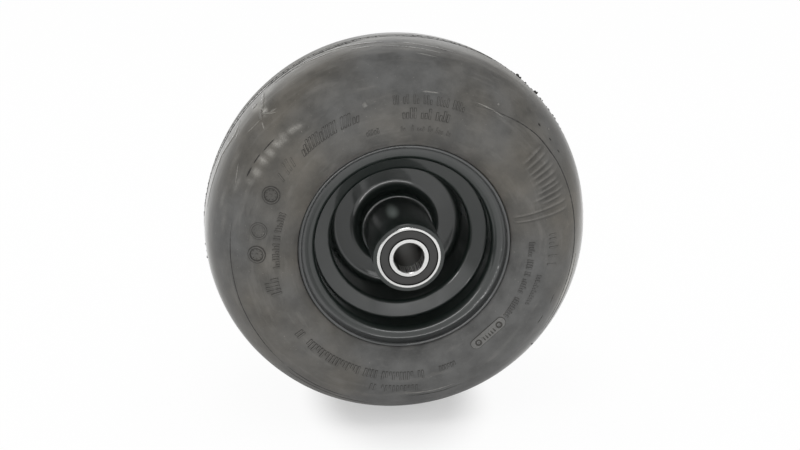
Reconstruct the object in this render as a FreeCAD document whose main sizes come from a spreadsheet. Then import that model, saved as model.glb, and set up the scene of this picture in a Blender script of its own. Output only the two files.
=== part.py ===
import FreeCAD, Part
import os
import re
import Sketcher
from FreeCAD import Placement, Rotation, Vector

# Front caster wheel of a riding mower: a smooth air-filled tyre on a welded steel rim,
# turning on two sealed ball bearings in a long hub tube.
#
# Frame: the wheel's centre is the origin, the axle lies along Y and +Z is up.
# The open side of the deep dish that is seen most faces -Y and is called the front.
# Every profile is drawn with x as the distance from its own axis and y as the distance
# outwards from the wheel's middle plane. Rear pieces stand as drawn, and front pieces are
# the same pieces turned half a turn about Z.

# Driving sizes in millimetres, counts without a unit: word, value, what it measures
SIZES = [
    ("tyre_radius", 164.0, "middle of the tread, from the axle"),
    ("section_width", 150.0, "tyre, between the widest points of its two sidewalls"),
    ("widest_share", 0.25, "height of the sidewall's widest point, as a share of rim lip to tread"),
    ("crown_edge_angle", 19.81, "turn of the tread arc from the middle plane to the shoulder, degrees"),
    ("foot_overhang", 0.3, "sidewall's foot beyond the rim's lip"),
    ("tyre_wall", 8.0, "rubber between the tread and the air space"),
    ("bead_width", 15.0, "bead, along the rim's seat"),
    ("bead_height", 6.0, "bead, inside face, from toe to inner wall"),
    ("bead_clearance", 0.25, "gap between tyre and rim"),
    ("bead_heel", 4.0, "rounding of the bead's heel"),
    ("sheet_thickness", 2.6, "rim, pressed steel sheet"),
    ("bead_seat_radius", 76.2, "rim, where the bead sits"),
    ("flange_inset", 17.85, "rim flange, tyre side, inside the tyre's widest point"),
    ("flange_height", 11.8, "rolled lip, outside, above the bead seat"),
    ("lip_curl", 9.35, "rolled lip's edge beyond the flange"),
    ("step_depth", 21.25, "face between bead seat and well, inside the flange"),
    ("step_rise", 3.1, "front half's step, rise from well to bead seat"),
    ("step_width", 14.6, "front half's step, from bead seat to well"),
    ("well_taper", 3.3, "front half's well, narrowing from the step to the disc"),
    ("valve_step_width", 17.1, "rear half's step, which holds the valve, from bead seat to well"),
    ("valve_well_taper", 1.5, "rear half's well, narrowing from the step to the disc"),
    ("collar_reach", 20.0, "edge of the disc's turned collar, from the middle plane"),
    ("collar_edge", 2.2, "rounding of the collar's edge"),
    ("lip_bend", 3.4, "inner radius of the bend from flange to lip"),
    ("flange_bend", 3.0, "inner radius of the bend from bead seat to flange"),
    ("seat_bend", 2.0, "inner radius of the bend from step to bead seat"),
    ("step_bend", 1.0, "inner radius of the bend from step to well"),
    ("floor_bend", 4.5, "inner radius of the bend from well to disc"),
    ("collar_bend", 8.0, "inner radius of the bend from disc to collar"),
    ("collar_clearance", 0.05, "gap between collar and hub tube"),
    ("tube_wall", 3.0, "hub tube around a bearing"),
    ("seat_shoulder", 2.0, "step in the hub tube's bore behind a bearing"),
    ("tube_half_length", 88.2, "hub tube, from the middle plane to its end"),
    ("tube_chamfer", 0.6, "hub tube, broken outer edge"),
    ("seat_clearance", 0.02, "gap between bearing and hub tube"),
    ("bearing_standout", 0.5, "bearing face beyond the tube's end"),
    ("bearing_radius", 26.0, "bearing, outside"),
    ("bearing_bore_radius", 12.7, "bearing, bore for the axle"),
    ("bearing_width", 15.0, "bearing, along the axle"),
    ("ring_chamfer", 0.5, "bearing rings, broken edges"),
    ("ball_radius", 3.97, "bearing ball"),
    ("ball_count", 9, "balls in one bearing"),
    ("pitch_shift", 0.1, "circle of the ball centres, inside the middle of the bearing's two radii"),
    ("race_ease", 0.16, "section of the ball tracks, over the ball's radius"),
    ("race_clearance", 0.06, "gap between ball and track"),
    ("inner_land_gap", 2.35, "inner ring beside the track, inside the ball centres"),
    ("outer_land_gap", 2.45, "outer ring beside the track, outside the ball centres"),
    ("seal_land_step", 1.0, "inner ring under the seal's lip, below its land"),
    ("seal_seat_step", 2.15, "outer ring around the seal, beyond its land"),
    ("seal_thickness", 1.2, "rubber seal"),
    ("seal_recess", 0.4, "seal below the ring faces"),
    ("seal_groove_depth", 0.35, "ring-shaped dip in the seal's outer face"),
    ("seal_rim_width", 0.9, "raised rims of the seal beside that dip"),
    ("seal_lip_clearance", 0.1, "gap between seal lip and inner ring"),
    ("seal_floor_clearance", 0.3, "gap between seal and the inner ring's shoulder"),
    ("cage_half_width", 1.5, "snap cage, to each side of the ball centres"),
    ("cage_back_wall", 0.81, "snap cage, closed side, behind the pockets"),
    ("cage_claw_reach", 1.7, "snap cage, claws, from the ball centres"),
    ("cage_clearance", 0.12, "gap between ball and pocket"),
    ("spacer_wall", 2.9, "bearing spacer"),
    ("spacer_clearance", 0.4, "gap between axle and spacer"),
    ("valve_offset", 0.75, "valve axis outside the middle of the step"),
    ("valve_hole_radius", 5.75, "valve hole in the rim"),
    ("valve_clearance", 0.1, "gap between the valve's neck and its hole"),
    ("valve_grip", 0.55, "rubber on both sides of the hole, beyond its edge"),
    ("valve_base_thickness", 3.0, "rubber base on the air side"),
    ("valve_base_chamfer", 1.4, "broken edges of the valve's flanges"),
    ("valve_rubber_length", 20.0, "rubber stem, from the rim's face"),
    ("valve_tip_radius", 4.4, "rubber stem at its outer end"),
    ("stem_wall", 0.4, "brass stem inside the rubber, around the core"),
    ("stem_bore_radius", 1.5, "air passage of the stem"),
    ("thread_wall", 1.35, "brass stem's thread for the cap, around the core"),
    ("thread_length", 11.0, "brass stem beyond the rubber"),
    ("core_radius", 2.5, "valve core"),
    ("core_length", 15.0, "valve core, from near the stem's end inwards"),
    ("core_recess", 1.0, "valve core below the stem's end"),
    ("core_clearance", 0.05, "gaps around the core and its pin"),
    ("pin_radius", 0.85, "sprung pin of the core"),
    ("pin_standout", 0.6, "pin beyond the core"),
    ("pin_plug_radius", 1.2, "stopper on the pin's inner end"),
    ("pin_plug_length", 2.0, "stopper, along the pin"),
    ("pin_plug_gap", 0.3, "gap between the stopper and the core"),
    ("cap_wall", 0.97, "dust cap around the thread"),
    ("cap_skirt_gap", 0.6, "gap between cap and rubber"),
    ("cap_roof", 2.0, "closed end of the cap"),
    ("cap_headroom", 1.5, "space in the cap beyond the stem"),
    ("cap_clearance", 0.08, "gap between cap and thread"),
    ("cap_flute_count", 12, "finger flutes round the cap"),
    ("cap_flute_radius", 0.9, "finger flute"),
]

# Sizes that follow from them: word, formula, what it measures
FOLLOWING = [
    ("flange_half_width", "section_width / 2 - flange_inset", "rim flange, tyre side, from the middle plane"),
    ("lip_radius", "bead_seat_radius + flange_height", "rolled lip, outside"),
    ("lip_reach", "flange_half_width + lip_curl", "rolled lip's edge, from the middle plane"),
    ("step_reach", "flange_half_width - step_depth", "step's face, from the middle plane"),
    ("step_edge_reach", "step_reach + step_rise", "front half's step at the bead seat, from the middle plane"),
    ("well_radius", "bead_seat_radius - sheet_thickness - step_width", "front half's well, inside, at the step"),
    ("floor_radius", "well_radius - well_taper", "front half's well, inside, at the disc"),
    ("valve_well_radius", "bead_seat_radius - sheet_thickness - valve_step_width",
     "rear half's well, inside, at the step"),
    ("valve_floor_radius", "valve_well_radius - valve_well_taper", "rear half's well, inside, at the disc"),
    ("tyre_foot", "lip_radius + bead_clearance", "sidewall's foot on the rim's lip, from the axle"),
    ("widest_radius", "tyre_foot + widest_share * (tyre_radius - tyre_foot)", "sidewall's widest point"),
    ("shoulder_rise", "cos(crown_edge_angle) / (1 - sin(crown_edge_angle))", "shoulder, height over width"),
    ("crown_fall", "(1 - cos(crown_edge_angle)) / sin(crown_edge_angle)", "tread arc, drop over half width"),
    ("crown_half_width", "(section_width / 2 * shoulder_rise - tyre_radius + widest_radius)"
     " / (shoulder_rise - crown_fall)", "tread arc, from the middle plane to the shoulder"),
    ("crown_radius", "crown_half_width / sin(crown_edge_angle)", "arc of the tread across the tyre"),
    ("shoulder_radius", "(section_width / 2 - crown_half_width) / (1 - sin(crown_edge_angle))", "shoulder's arc"),
    ("foot_inset", "flange_inset - lip_curl - foot_overhang", "sidewall's foot inside its widest point"),
    ("lower_wall_radius", "((widest_radius - tyre_foot)^2 + foot_inset^2) / (2 * foot_inset)",
     "arc of the sidewall between its widest point and the rim"),
    ("tube_radius", "bearing_radius + tube_wall", "hub tube, outside"),
    ("tube_bore_radius", "bearing_radius - seat_shoulder", "hub tube, bore between the bearings"),
    ("pitch_radius", "(bearing_radius + bearing_bore_radius) / 2 - pitch_shift", "circle of the ball centres"),
    ("race_radius", "ball_radius + race_ease", "section of the ball tracks"),
    ("inner_land_radius", "pitch_radius - inner_land_gap", "inner ring beside the track"),
    ("outer_land_radius", "pitch_radius + outer_land_gap", "outer ring beside the track"),
    ("seal_land_radius", "inner_land_radius - seal_land_step", "inner ring under the seal's lip"),
    ("seal_seat_radius", "outer_land_radius + seal_seat_step", "outer ring around the seal"),
    ("cage_inner_radius", "pitch_radius - cage_half_width", "snap cage, inside"),
    ("cage_outer_radius", "pitch_radius + cage_half_width", "snap cage, outside"),
    ("cage_back_reach", "ball_radius + cage_clearance + cage_back_wall", "snap cage, closed side"),
    ("spacer_bore_radius", "bearing_bore_radius + spacer_clearance", "bearing spacer, bore"),
    ("spacer_radius", "spacer_bore_radius + spacer_wall", "bearing spacer, outside"),
    ("valve_circle_radius", "valve_well_radius + valve_step_width / 2 + valve_offset", "valve axis, from the axle"),
    ("valve_flange_radius", "valve_hole_radius + valve_grip", "rubber on both sides of the hole"),
    ("stem_radius", "core_radius + stem_wall", "brass stem inside the rubber"),
    ("thread_radius", "core_radius + thread_wall", "brass stem's thread for the cap"),
    ("cap_radius", "thread_radius + cap_clearance + cap_wall", "dust cap, outside"),
]

ALIASES = {word for word, value, meaning in SIZES + FOLLOWING}
SHEET = "Sizes"

# Worked-out sizes, as formulas on the words above
CROWN_COSINE = "cos(crown_edge_angle)"
CROWN_CENTRE = "(tyre_radius - crown_radius)"
FOOT_SINE = "((widest_radius - tyre_foot) / lower_wall_radius)"
FOOT_COSINE = "(1 - foot_inset / lower_wall_radius)"
LOWER_CENTRE = "(section_width / 2 - lower_wall_radius)"
INNER_LOWER_RADIUS = "(lower_wall_radius - tyre_wall)"
BEAD_SEAT = "(bead_seat_radius + bead_clearance)"
BEAD_FACE = "(flange_half_width - bead_clearance)"
BEARING_FACE = "(tube_half_length + bearing_standout)"
BEARING_BACK = f"({BEARING_FACE} - bearing_width)"
BALL_PLANE = f"({BEARING_FACE} - bearing_width / 2)"
SEAL_FLOOR = "(seal_recess + seal_thickness)"
INNER_TRACK = "(pitch_radius - ball_radius - race_clearance)"
OUTER_TRACK = "(pitch_radius + ball_radius + race_clearance)"
INNER_TRACK_HALF = f"sqrt(race_radius^2 - ({INNER_TRACK} + race_radius - inner_land_radius)^2)"
OUTER_TRACK_HALF = f"sqrt(race_radius^2 - (outer_land_radius - {OUTER_TRACK} + race_radius)^2)"
VALVE_END = "(step_reach + valve_rubber_length + thread_length)"
CORE_OUTER_END = f"({VALVE_END} - core_recess)"
CORE_INNER_END = f"({CORE_OUTER_END} - core_length)"
CORE_SEAT = "(core_radius + core_clearance)"
PIN_SEAT = "(pin_radius + core_clearance)"
CAP_BOTTOM = "(step_reach + valve_rubber_length + cap_skirt_gap)"
CAP_CEILING = f"({VALVE_END} + cap_headroom)"
CAP_BORE = "(thread_radius + cap_clearance)"

# Turns a sphere's poles to the radial direction and its seam to the outside of the wheel
POLE_OUTWARDS = Rotation(Vector(1, 1, 1), 120)

doc = FreeCAD.newDocument("caster_wheel")
subparts = []


def make_sheet():
    """Writes the sizes and the formulas that follow to the document's spreadsheet, one row each."""
    sheet = doc.addObject("Spreadsheet::Sheet", SHEET)
    driving = [(word, str(value), meaning) for word, value, meaning in SIZES]
    following = [(word, f"={formula}", meaning) for word, formula, meaning in FOLLOWING]
    for row, (word, content, meaning) in enumerate(driving + following, start=1):
        sheet.set(f"A{row}", meaning)
        sheet.set(f"B{row}", content)
        sheet.setAlias(f"B{row}", word)
    doc.recompute()
    return sheet


sizes = make_sheet()


def bound(formula):
    """The formula with each size's word pointed at its cell."""
    return re.sub(r"[a-z_]+", lambda word: f"{SHEET}.{word[0]}" if word[0] in ALIASES else word[0], formula)


def value(formula):
    """The formula's present value."""
    return float(sizes.evalExpression(bound(formula)))


def new_body(label):
    """A body whose label names its file."""
    body = doc.addObject("PartDesign::Body", label)
    body.Label = label
    subparts.append(body)
    return body


def plane_of(body, role):
    """One of the body's own origin planes."""
    return next(feature for feature in body.Origin.OriginFeatures if feature.Role == role)


def new_sketch(body, name, role="XY_Plane"):
    """An empty sketch on one of the body's origin planes."""
    sketch = body.newObject("Sketcher::SketchObject", name)
    sketch.AttachmentSupport = [(plane_of(body, role), "")]
    sketch.MapMode = "FlatFace"
    return sketch


def bind_constraint(sketch, constraint, name, formula):
    """Adds a constraint and ties its value to the sheet."""
    sketch.renameConstraint(sketch.addConstraint(constraint), name)
    sketch.setExpression(f"Constraints.{name}", bound(formula))


def arc_between(start, end, radius, turn):
    """The short arc from start to end, with turn +1 to the left and -1 to the right."""
    chord = end - start
    to_left = Vector(-chord.y, chord.x, 0).normalize()
    rise = max(radius**2 - (chord.Length / 2)**2, 0)**0.5
    centre = (start + end) / 2 + to_left * (turn * rise)
    first, last = (start, end) if turn > 0 else (end, start)
    return Part.ArcOfCircle(Part.Circle(centre, Vector(0, 0, 1), radius),
                            (first - centre).getAngle(Vector(1, 0, 0)) * (1 if first.y >= centre.y else -1),
                            (last - centre).getAngle(Vector(1, 0, 0)) * (1 if last.y >= centre.y else -1))


def closed_profile(body, name, corners):
    """A closed outline. Each corner is (x formula, y formula), and where an arc leaves it,
    also that arc's radius formula and its turn."""
    sketch = new_sketch(body, name)
    places = [Vector(value(corner[0]), value(corner[1]), 0) for corner in corners]
    ends = []
    for index, corner in enumerate(corners):
        start = places[index]
        end = places[(index + 1) % len(corners)]
        if len(corner) == 2:
            edge = sketch.addGeometry(Part.LineSegment(start, end))
            ends.append((edge, 1, 2))
        else:
            edge = sketch.addGeometry(arc_between(start, end, value(corner[2]), corner[3]))
            ends.append((edge, 1, 2) if corner[3] > 0 else (edge, 2, 1))
    for index, corner in enumerate(corners):
        edge, start_point, end_point = ends[index]
        before, before_start, before_end = ends[index - 1]
        sketch.addConstraint(Sketcher.Constraint("Coincident", before, before_end, edge, start_point))
        bind_constraint(sketch, Sketcher.Constraint("DistanceX", edge, start_point, places[index].x),
                        f"x{index}", corner[0])
        bind_constraint(sketch, Sketcher.Constraint("DistanceY", edge, start_point, places[index].y),
                        f"y{index}", corner[1])
        if len(corner) > 2:
            bind_constraint(sketch, Sketcher.Constraint("Radius", edge, value(corner[2])),
                            f"radius{index}", corner[2])
    return sketch


def turned(body, name, corners):
    """The outline turned once round the profile's y axis."""
    sketch = closed_profile(body, f"{name}_section", corners)
    revolution = body.newObject("PartDesign::Revolution", name)
    revolution.Profile = sketch
    revolution.ReferenceAxis = (sketch, ["V_Axis"])
    revolution.Angle = 360.0
    doc.recompute()
    return revolution


def ring_edges(shape, rings):
    """Names of the circular edges at the given (x, y) corners of a turned shape."""
    names = []
    for number, edge in enumerate(shape.Edges, start=1):
        if not isinstance(edge.Curve, Part.Circle):
            continue
        centre = edge.Curve.Center
        for x_formula, y_formula in rings:
            on_axis = Vector(0, value(y_formula), 0)
            if centre.isEqual(on_axis, 1e-4) and abs(edge.Curve.Radius - value(x_formula)) < 1e-4:
                names.append(f"Edge{number}")
    if len(names) != len(rings):
        raise RuntimeError(f"expected {len(rings)} edges, found {len(names)}")
    return names


def soften(body, kind, size_property, rings, formula):
    """Rounds or breaks the turned body's edges at the given corners."""
    base = body.Tip
    names = ring_edges(base.Shape, rings)
    feature = body.newObject(f"PartDesign::{kind}", f"{body.Name}_{kind}")
    feature.Base = (base, names)
    feature.setExpression(size_property, bound(formula))
    doc.recompute()


def round_edges(body, rings, formula):
    soften(body, "Fillet", "Radius", rings, formula)


def break_edges(body, rings, formula):
    soften(body, "Chamfer", "Size", rings, formula)


def mirror_half(body):
    """Completes a half piece by its mirror image in the wheel's middle plane."""
    half = body.Tip
    mirrored = body.newObject("PartDesign::Mirrored", f"{body.Name}_whole")
    mirrored.TransformMode = "Whole shape"
    mirrored.Originals = [half]
    mirrored.MirrorPlane = (plane_of(body, "XZ_Plane"), [""])
    body.Tip = mirrored
    doc.recompute()


def face_front(body):
    """Turns a piece half a turn about Z, to the front of the wheel."""
    body.Placement = Placement(Vector(0, 0, 0), Rotation(Vector(0, 0, 1), 180))


def make_tyre():
    """Hollow tyre: one half of the section, turned and mirrored in the middle plane."""
    body = new_body("tyre")
    crown_end = (f"{CROWN_CENTRE} + crown_radius * {CROWN_COSINE}", "crown_half_width")
    inner_crown = "(crown_radius - tyre_wall)"
    inner_shoulder = f"(shoulder_radius - tyre_wall)"
    turned(body, "tyre_half", [
        ("tyre_radius - tyre_wall", "0"),
        ("tyre_radius", "0", "crown_radius", 1),
        (*crown_end, "shoulder_radius", 1),
        ("widest_radius", "section_width / 2", "lower_wall_radius", 1),
        ("tyre_foot", f"{LOWER_CENTRE} + lower_wall_radius * {FOOT_COSINE}"),
        ("tyre_foot", BEAD_FACE),
        (BEAD_SEAT, BEAD_FACE),
        (BEAD_SEAT, f"{BEAD_FACE} - bead_width"),
        (f"{BEAD_SEAT} + bead_height", f"{BEAD_FACE} - bead_width"),
        (f"widest_radius - {INNER_LOWER_RADIUS} * {FOOT_SINE}",
         f"{LOWER_CENTRE} + {INNER_LOWER_RADIUS} * {FOOT_COSINE}", INNER_LOWER_RADIUS, -1),
        ("widest_radius", "section_width / 2 - tyre_wall", inner_shoulder, -1),
        (f"{CROWN_CENTRE} + {inner_crown} * {CROWN_COSINE}",
         f"{inner_crown} * crown_half_width / crown_radius", inner_crown, -1),
    ])
    round_edges(body, [("tyre_foot", BEAD_FACE)], "lip_bend + sheet_thickness + bead_clearance")
    round_edges(body, [(BEAD_SEAT, BEAD_FACE)], "bead_heel")
    mirror_half(body)


def make_rim_half(label, step_edge, well, floor):
    """Pressed rim half: rolled lip, flange, bead seat, step, well, disc and turned collar."""
    body = new_body(label)
    tube = "(tube_radius + collar_clearance)"
    flange_face = "flange_half_width + sheet_thickness"
    step_back = "step_reach - sheet_thickness"
    turned(body, f"{label}_sheet", [
        ("lip_radius", "lip_reach"),
        ("lip_radius - sheet_thickness", "lip_reach"),
        ("lip_radius - sheet_thickness", flange_face),
        ("bead_seat_radius - sheet_thickness", flange_face),
        ("bead_seat_radius - sheet_thickness", step_edge),
        (well, "step_reach"),
        (floor, "sheet_thickness"),
        (f"{tube} + sheet_thickness", "sheet_thickness"),
        (f"{tube} + sheet_thickness", "collar_reach"),
        (tube, "collar_reach"),
        (tube, "0"),
        (f"{floor} + sheet_thickness", "0"),
        (f"{well} + sheet_thickness", step_back),
        ("bead_seat_radius", f"{step_edge} - sheet_thickness"),
        ("bead_seat_radius", "flange_half_width"),
        ("lip_radius", "flange_half_width"),
    ])
    inner_bends = [
        (("lip_radius - sheet_thickness", flange_face), "lip_bend"),
        (("bead_seat_radius", "flange_half_width"), "flange_bend"),
        (("bead_seat_radius - sheet_thickness", step_edge), "seat_bend"),
        ((f"{well} + sheet_thickness", step_back), "step_bend"),
        ((floor, "sheet_thickness"), "floor_bend"),
        ((f"{tube} + sheet_thickness", "sheet_thickness"), "collar_bend"),
    ]
    outer_bends = [
        (("lip_radius", "flange_half_width"), "lip_bend"),
        (("bead_seat_radius - sheet_thickness", flange_face), "flange_bend"),
        (("bead_seat_radius", f"{step_edge} - sheet_thickness"), "seat_bend"),
        ((well, "step_reach"), "step_bend"),
        ((f"{floor} + sheet_thickness", "0"), "floor_bend"),
        ((tube, "0"), "collar_bend"),
    ]
    for ring, radius in inner_bends:
        round_edges(body, [ring], radius)
    for ring, radius in outer_bends:
        round_edges(body, [ring], f"{radius} + sheet_thickness")
    round_edges(body, [("lip_radius", "lip_reach"), ("lip_radius - sheet_thickness", "lip_reach")],
                "sheet_thickness * 0.4")
    round_edges(body, [(f"{tube} + sheet_thickness", "collar_reach")], "collar_edge")
    return body


def cut_valve_hole(body):
    """Round hole through the step of the rim half, below the axle."""
    sketch = new_sketch(body, "valve_hole_outline", "XZ_Plane")
    centre = Vector(0, -value("valve_circle_radius"), 0)
    circle = sketch.addGeometry(Part.Circle(centre, Vector(0, 0, 1), value("valve_hole_radius")))
    sketch.addConstraint(Sketcher.Constraint("PointOnObject", circle, 3, -2))
    bind_constraint(sketch, Sketcher.Constraint("DistanceY", circle, 3, centre.y), "below_axle",
                    "-valve_circle_radius")
    bind_constraint(sketch, Sketcher.Constraint("Radius", circle, value("valve_hole_radius")), "hole",
                    "valve_hole_radius")
    whole = body.Shape.Volume
    pocket = body.newObject("PartDesign::Pocket", "valve_hole")
    pocket.Profile = sketch
    pocket.Type = "ThroughAll"
    pocket.SideType = "Symmetric"
    doc.recompute()
    if body.Shape.Volume >= whole:
        raise RuntimeError("the valve hole cut nothing")


def make_hub_tube():
    """Hub tube with a seat for a bearing turned into each end."""
    body = new_body("hub_tube")
    seat = "bearing_radius + seat_clearance"
    turned(body, "hub_tube_half", [
        ("tube_bore_radius", "0"),
        ("tube_radius", "0"),
        ("tube_radius", "tube_half_length"),
        (seat, "tube_half_length"),
        (seat, BEARING_BACK),
        ("tube_bore_radius", BEARING_BACK),
    ])
    break_edges(body, [("tube_radius", "tube_half_length")], "tube_chamfer")
    mirror_half(body)


def make_spacer():
    """Tube between the inner rings, which takes the axle bolt's clamping force."""
    body = new_body("bearing_spacer")
    turned(body, "spacer_tube", [
        ("spacer_bore_radius", f"-{BEARING_BACK}"),
        ("spacer_radius", f"-{BEARING_BACK}"),
        ("spacer_radius", BEARING_BACK),
        ("spacer_bore_radius", BEARING_BACK),
    ])


def make_inner_ring(label):
    """Inner ring with its ball track and a step under each seal."""
    body = new_body(label)
    seal_step = f"({SEAL_FLOOR} + seal_floor_clearance)"
    turned(body, f"{label}_blank", [
        ("bearing_bore_radius", BEARING_BACK),
        ("seal_land_radius", BEARING_BACK),
        ("seal_land_radius", f"{BEARING_BACK} + {seal_step}"),
        ("inner_land_radius", f"{BEARING_BACK} + {seal_step}"),
        ("inner_land_radius", f"{BALL_PLANE} - {INNER_TRACK_HALF}", "race_radius", -1),
        ("inner_land_radius", f"{BALL_PLANE} + {INNER_TRACK_HALF}"),
        ("inner_land_radius", f"{BEARING_FACE} - {seal_step}"),
        ("seal_land_radius", f"{BEARING_FACE} - {seal_step}"),
        ("seal_land_radius", BEARING_FACE),
        ("bearing_bore_radius", BEARING_FACE),
    ])
    break_edges(body, [("bearing_bore_radius", BEARING_BACK), ("bearing_bore_radius", BEARING_FACE)],
                "ring_chamfer")
    return body


def make_outer_ring(label):
    """Outer ring with its ball track and a seat for each seal."""
    body = new_body(label)
    turned(body, f"{label}_blank", [
        ("seal_seat_radius", BEARING_BACK),
        ("bearing_radius", BEARING_BACK),
        ("bearing_radius", BEARING_FACE),
        ("seal_seat_radius", BEARING_FACE),
        ("seal_seat_radius", f"{BEARING_FACE} - {SEAL_FLOOR}"),
        ("outer_land_radius", f"{BEARING_FACE} - {SEAL_FLOOR}"),
        ("outer_land_radius", f"{BALL_PLANE} + {OUTER_TRACK_HALF}", "race_radius", -1),
        ("outer_land_radius", f"{BALL_PLANE} - {OUTER_TRACK_HALF}"),
        ("outer_land_radius", f"{BEARING_BACK} + {SEAL_FLOOR}"),
        ("seal_seat_radius", f"{BEARING_BACK} + {SEAL_FLOOR}"),
    ])
    break_edges(body, [("bearing_radius", BEARING_BACK), ("bearing_radius", BEARING_FACE)],
                "ring_chamfer")
    return body


def make_seal(label, ring_face, outwards):
    """Rubber seal, snapped into the outer ring, with a dip between its two raised rims."""
    body = new_body(label)
    outer_face = f"({ring_face} - ({outwards}) * seal_recess)"
    dip = f"({outer_face} - ({outwards}) * seal_groove_depth)"
    inner_face = f"({outer_face} - ({outwards}) * seal_thickness)"
    lip = "(seal_land_radius + seal_lip_clearance)"
    edge = "(seal_seat_radius - seat_clearance)"
    turned(body, f"{label}_section", [
        (lip, inner_face),
        (edge, inner_face),
        (edge, outer_face),
        (f"{edge} - seal_rim_width", outer_face),
        (f"{edge} - seal_rim_width", dip),
        (f"{lip} + seal_rim_width", dip),
        (f"{lip} + seal_rim_width", outer_face),
        (lip, outer_face),
    ])
    return body


def make_cage(label):
    """Moulded one-piece snap cage: a ring on the closed side, open claws on the other."""
    body = new_body(label)
    turned(body, f"{label}_ring", [
        ("cage_inner_radius", f"{BALL_PLANE} - cage_back_reach"),
        ("cage_outer_radius", f"{BALL_PLANE} - cage_back_reach"),
        ("cage_outer_radius", f"{BALL_PLANE} + cage_claw_reach"),
        ("cage_inner_radius", f"{BALL_PLANE} + cage_claw_reach"),
    ])
    whole = body.Shape.Volume
    pocket = body.newObject("PartDesign::SubtractiveSphere", f"{label}_pocket")
    pocket.AttachmentSupport = [(plane_of(body, "XY_Plane"), "")]
    pocket.MapMode = "FlatFace"
    pocket.AttachmentOffset = Placement(Vector(0, 0, 0), POLE_OUTWARDS)
    pocket.setExpression("Radius", bound("ball_radius + cage_clearance"))
    pocket.setExpression("AttachmentOffset.Base.x", bound("pitch_radius"))
    pocket.setExpression("AttachmentOffset.Base.y", bound(BALL_PLANE))
    doc.recompute()
    pattern = body.newObject("PartDesign::PolarPattern", f"{label}_pockets")
    pattern.Originals = [pocket]
    pattern.Axis = (next(axis for axis in body.Origin.OriginFeatures if axis.Role == "Y_Axis"), [""])
    pattern.Angle = 360.0
    pattern.setExpression("Occurrences", bound("ball_count"))
    body.Tip = pattern
    doc.recompute()
    if body.Shape.Volume >= whole:
        raise RuntimeError(f"the pockets of {label} cut nothing")
    return body


def make_balls(label):
    """The bearing's balls, one group of separate solids."""
    balls = []
    for index in range(int(value("ball_count"))):
        ball = doc.addObject("Part::Sphere", f"{label}_{index}")
        ball.setExpression("Radius", bound("ball_radius"))
        turn = f"({index} * 360 / ball_count)"
        ball.setExpression("Placement.Base.x", bound(f"pitch_radius * cos({turn})"))
        ball.setExpression("Placement.Base.y", bound(BALL_PLANE))
        ball.setExpression("Placement.Base.z", bound(f"-pitch_radius * sin({turn})"))
        balls.append(ball)
    group = doc.addObject("Part::Compound", label)
    group.Label = label
    group.Links = balls
    doc.recompute()
    subparts.append(group)
    return group


def make_bearing(side):
    """One sealed ball bearing, as its six pieces."""
    return [
        make_inner_ring(f"{side}_inner_ring"),
        make_outer_ring(f"{side}_outer_ring"),
        make_balls(f"{side}_balls"),
        make_cage(f"{side}_cage"),
        make_seal(f"{side}_outer_seal", BEARING_FACE, 1),
        make_seal(f"{side}_inner_seal", BEARING_BACK, -1),
    ]


def on_valve_axis(body):
    """Hangs a valve piece on the valve's axis, below the axle."""
    body.setExpression("Placement.Base.z", bound("-valve_circle_radius"))
    doc.recompute()


def make_valve_rubber():
    """Rubber of the snap-in valve, moulded round its brass stem."""
    body = new_body("valve_rubber")
    step_back = "(step_reach - sheet_thickness)"
    neck = "valve_hole_radius - valve_clearance"
    stem = "stem_radius + core_clearance"
    base = f"({step_back} - valve_base_thickness)"
    turned(body, "valve_rubber_blank", [
        (stem, base),
        ("valve_flange_radius", base),
        ("valve_flange_radius", step_back),
        (neck, step_back),
        (neck, "step_reach"),
        ("valve_flange_radius", "step_reach"),
        ("valve_flange_radius", "step_reach + valve_base_thickness"),
        ("valve_tip_radius", "step_reach + valve_rubber_length"),
        (stem, "step_reach + valve_rubber_length"),
    ])
    break_edges(body, [("valve_flange_radius", step_back), ("valve_flange_radius", "step_reach")],
                "(valve_flange_radius - valve_hole_radius + valve_clearance) * 0.9")
    break_edges(body, [("valve_flange_radius", base)], "valve_base_chamfer")
    on_valve_axis(body)


def make_valve_stem():
    """Brass stem: thin inside the rubber, full thread size beyond it, bored for the core."""
    body = new_body("valve_stem")
    inner_end = "(step_reach - sheet_thickness - valve_base_thickness)"
    rubber_end = "(step_reach + valve_rubber_length)"
    turned(body, "valve_stem_blank", [
        ("stem_bore_radius", inner_end),
        ("stem_radius", inner_end),
        ("stem_radius", rubber_end),
        ("thread_radius", rubber_end),
        ("thread_radius", VALVE_END),
        (CORE_SEAT, VALVE_END),
        (CORE_SEAT, CORE_INNER_END),
        ("stem_bore_radius", CORE_INNER_END),
    ])
    break_edges(body, [("thread_radius", VALVE_END)], "(thread_radius - core_radius) * 0.4")
    on_valve_axis(body)


def make_valve_core():
    """Screwed-in core that guides the sprung pin."""
    body = new_body("valve_core")
    turned(body, "valve_core_blank", [
        (PIN_SEAT, CORE_INNER_END),
        ("core_radius", CORE_INNER_END),
        ("core_radius", CORE_OUTER_END),
        (PIN_SEAT, CORE_OUTER_END),
    ])
    on_valve_axis(body)


def make_valve_pin():
    """Pin of the core, pressed inwards to let air past the stopper on its inner end."""
    body = new_body("valve_pin")
    plug_end = f"({CORE_INNER_END} - pin_plug_gap)"
    turned(body, "valve_pin_blank", [
        ("0", f"{plug_end} - pin_plug_length"),
        ("pin_plug_radius", f"{plug_end} - pin_plug_length"),
        ("pin_plug_radius", plug_end),
        ("pin_radius", plug_end),
        ("pin_radius", f"{CORE_OUTER_END} + pin_standout"),
        ("0", f"{CORE_OUTER_END} + pin_standout"),
    ])
    on_valve_axis(body)


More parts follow.
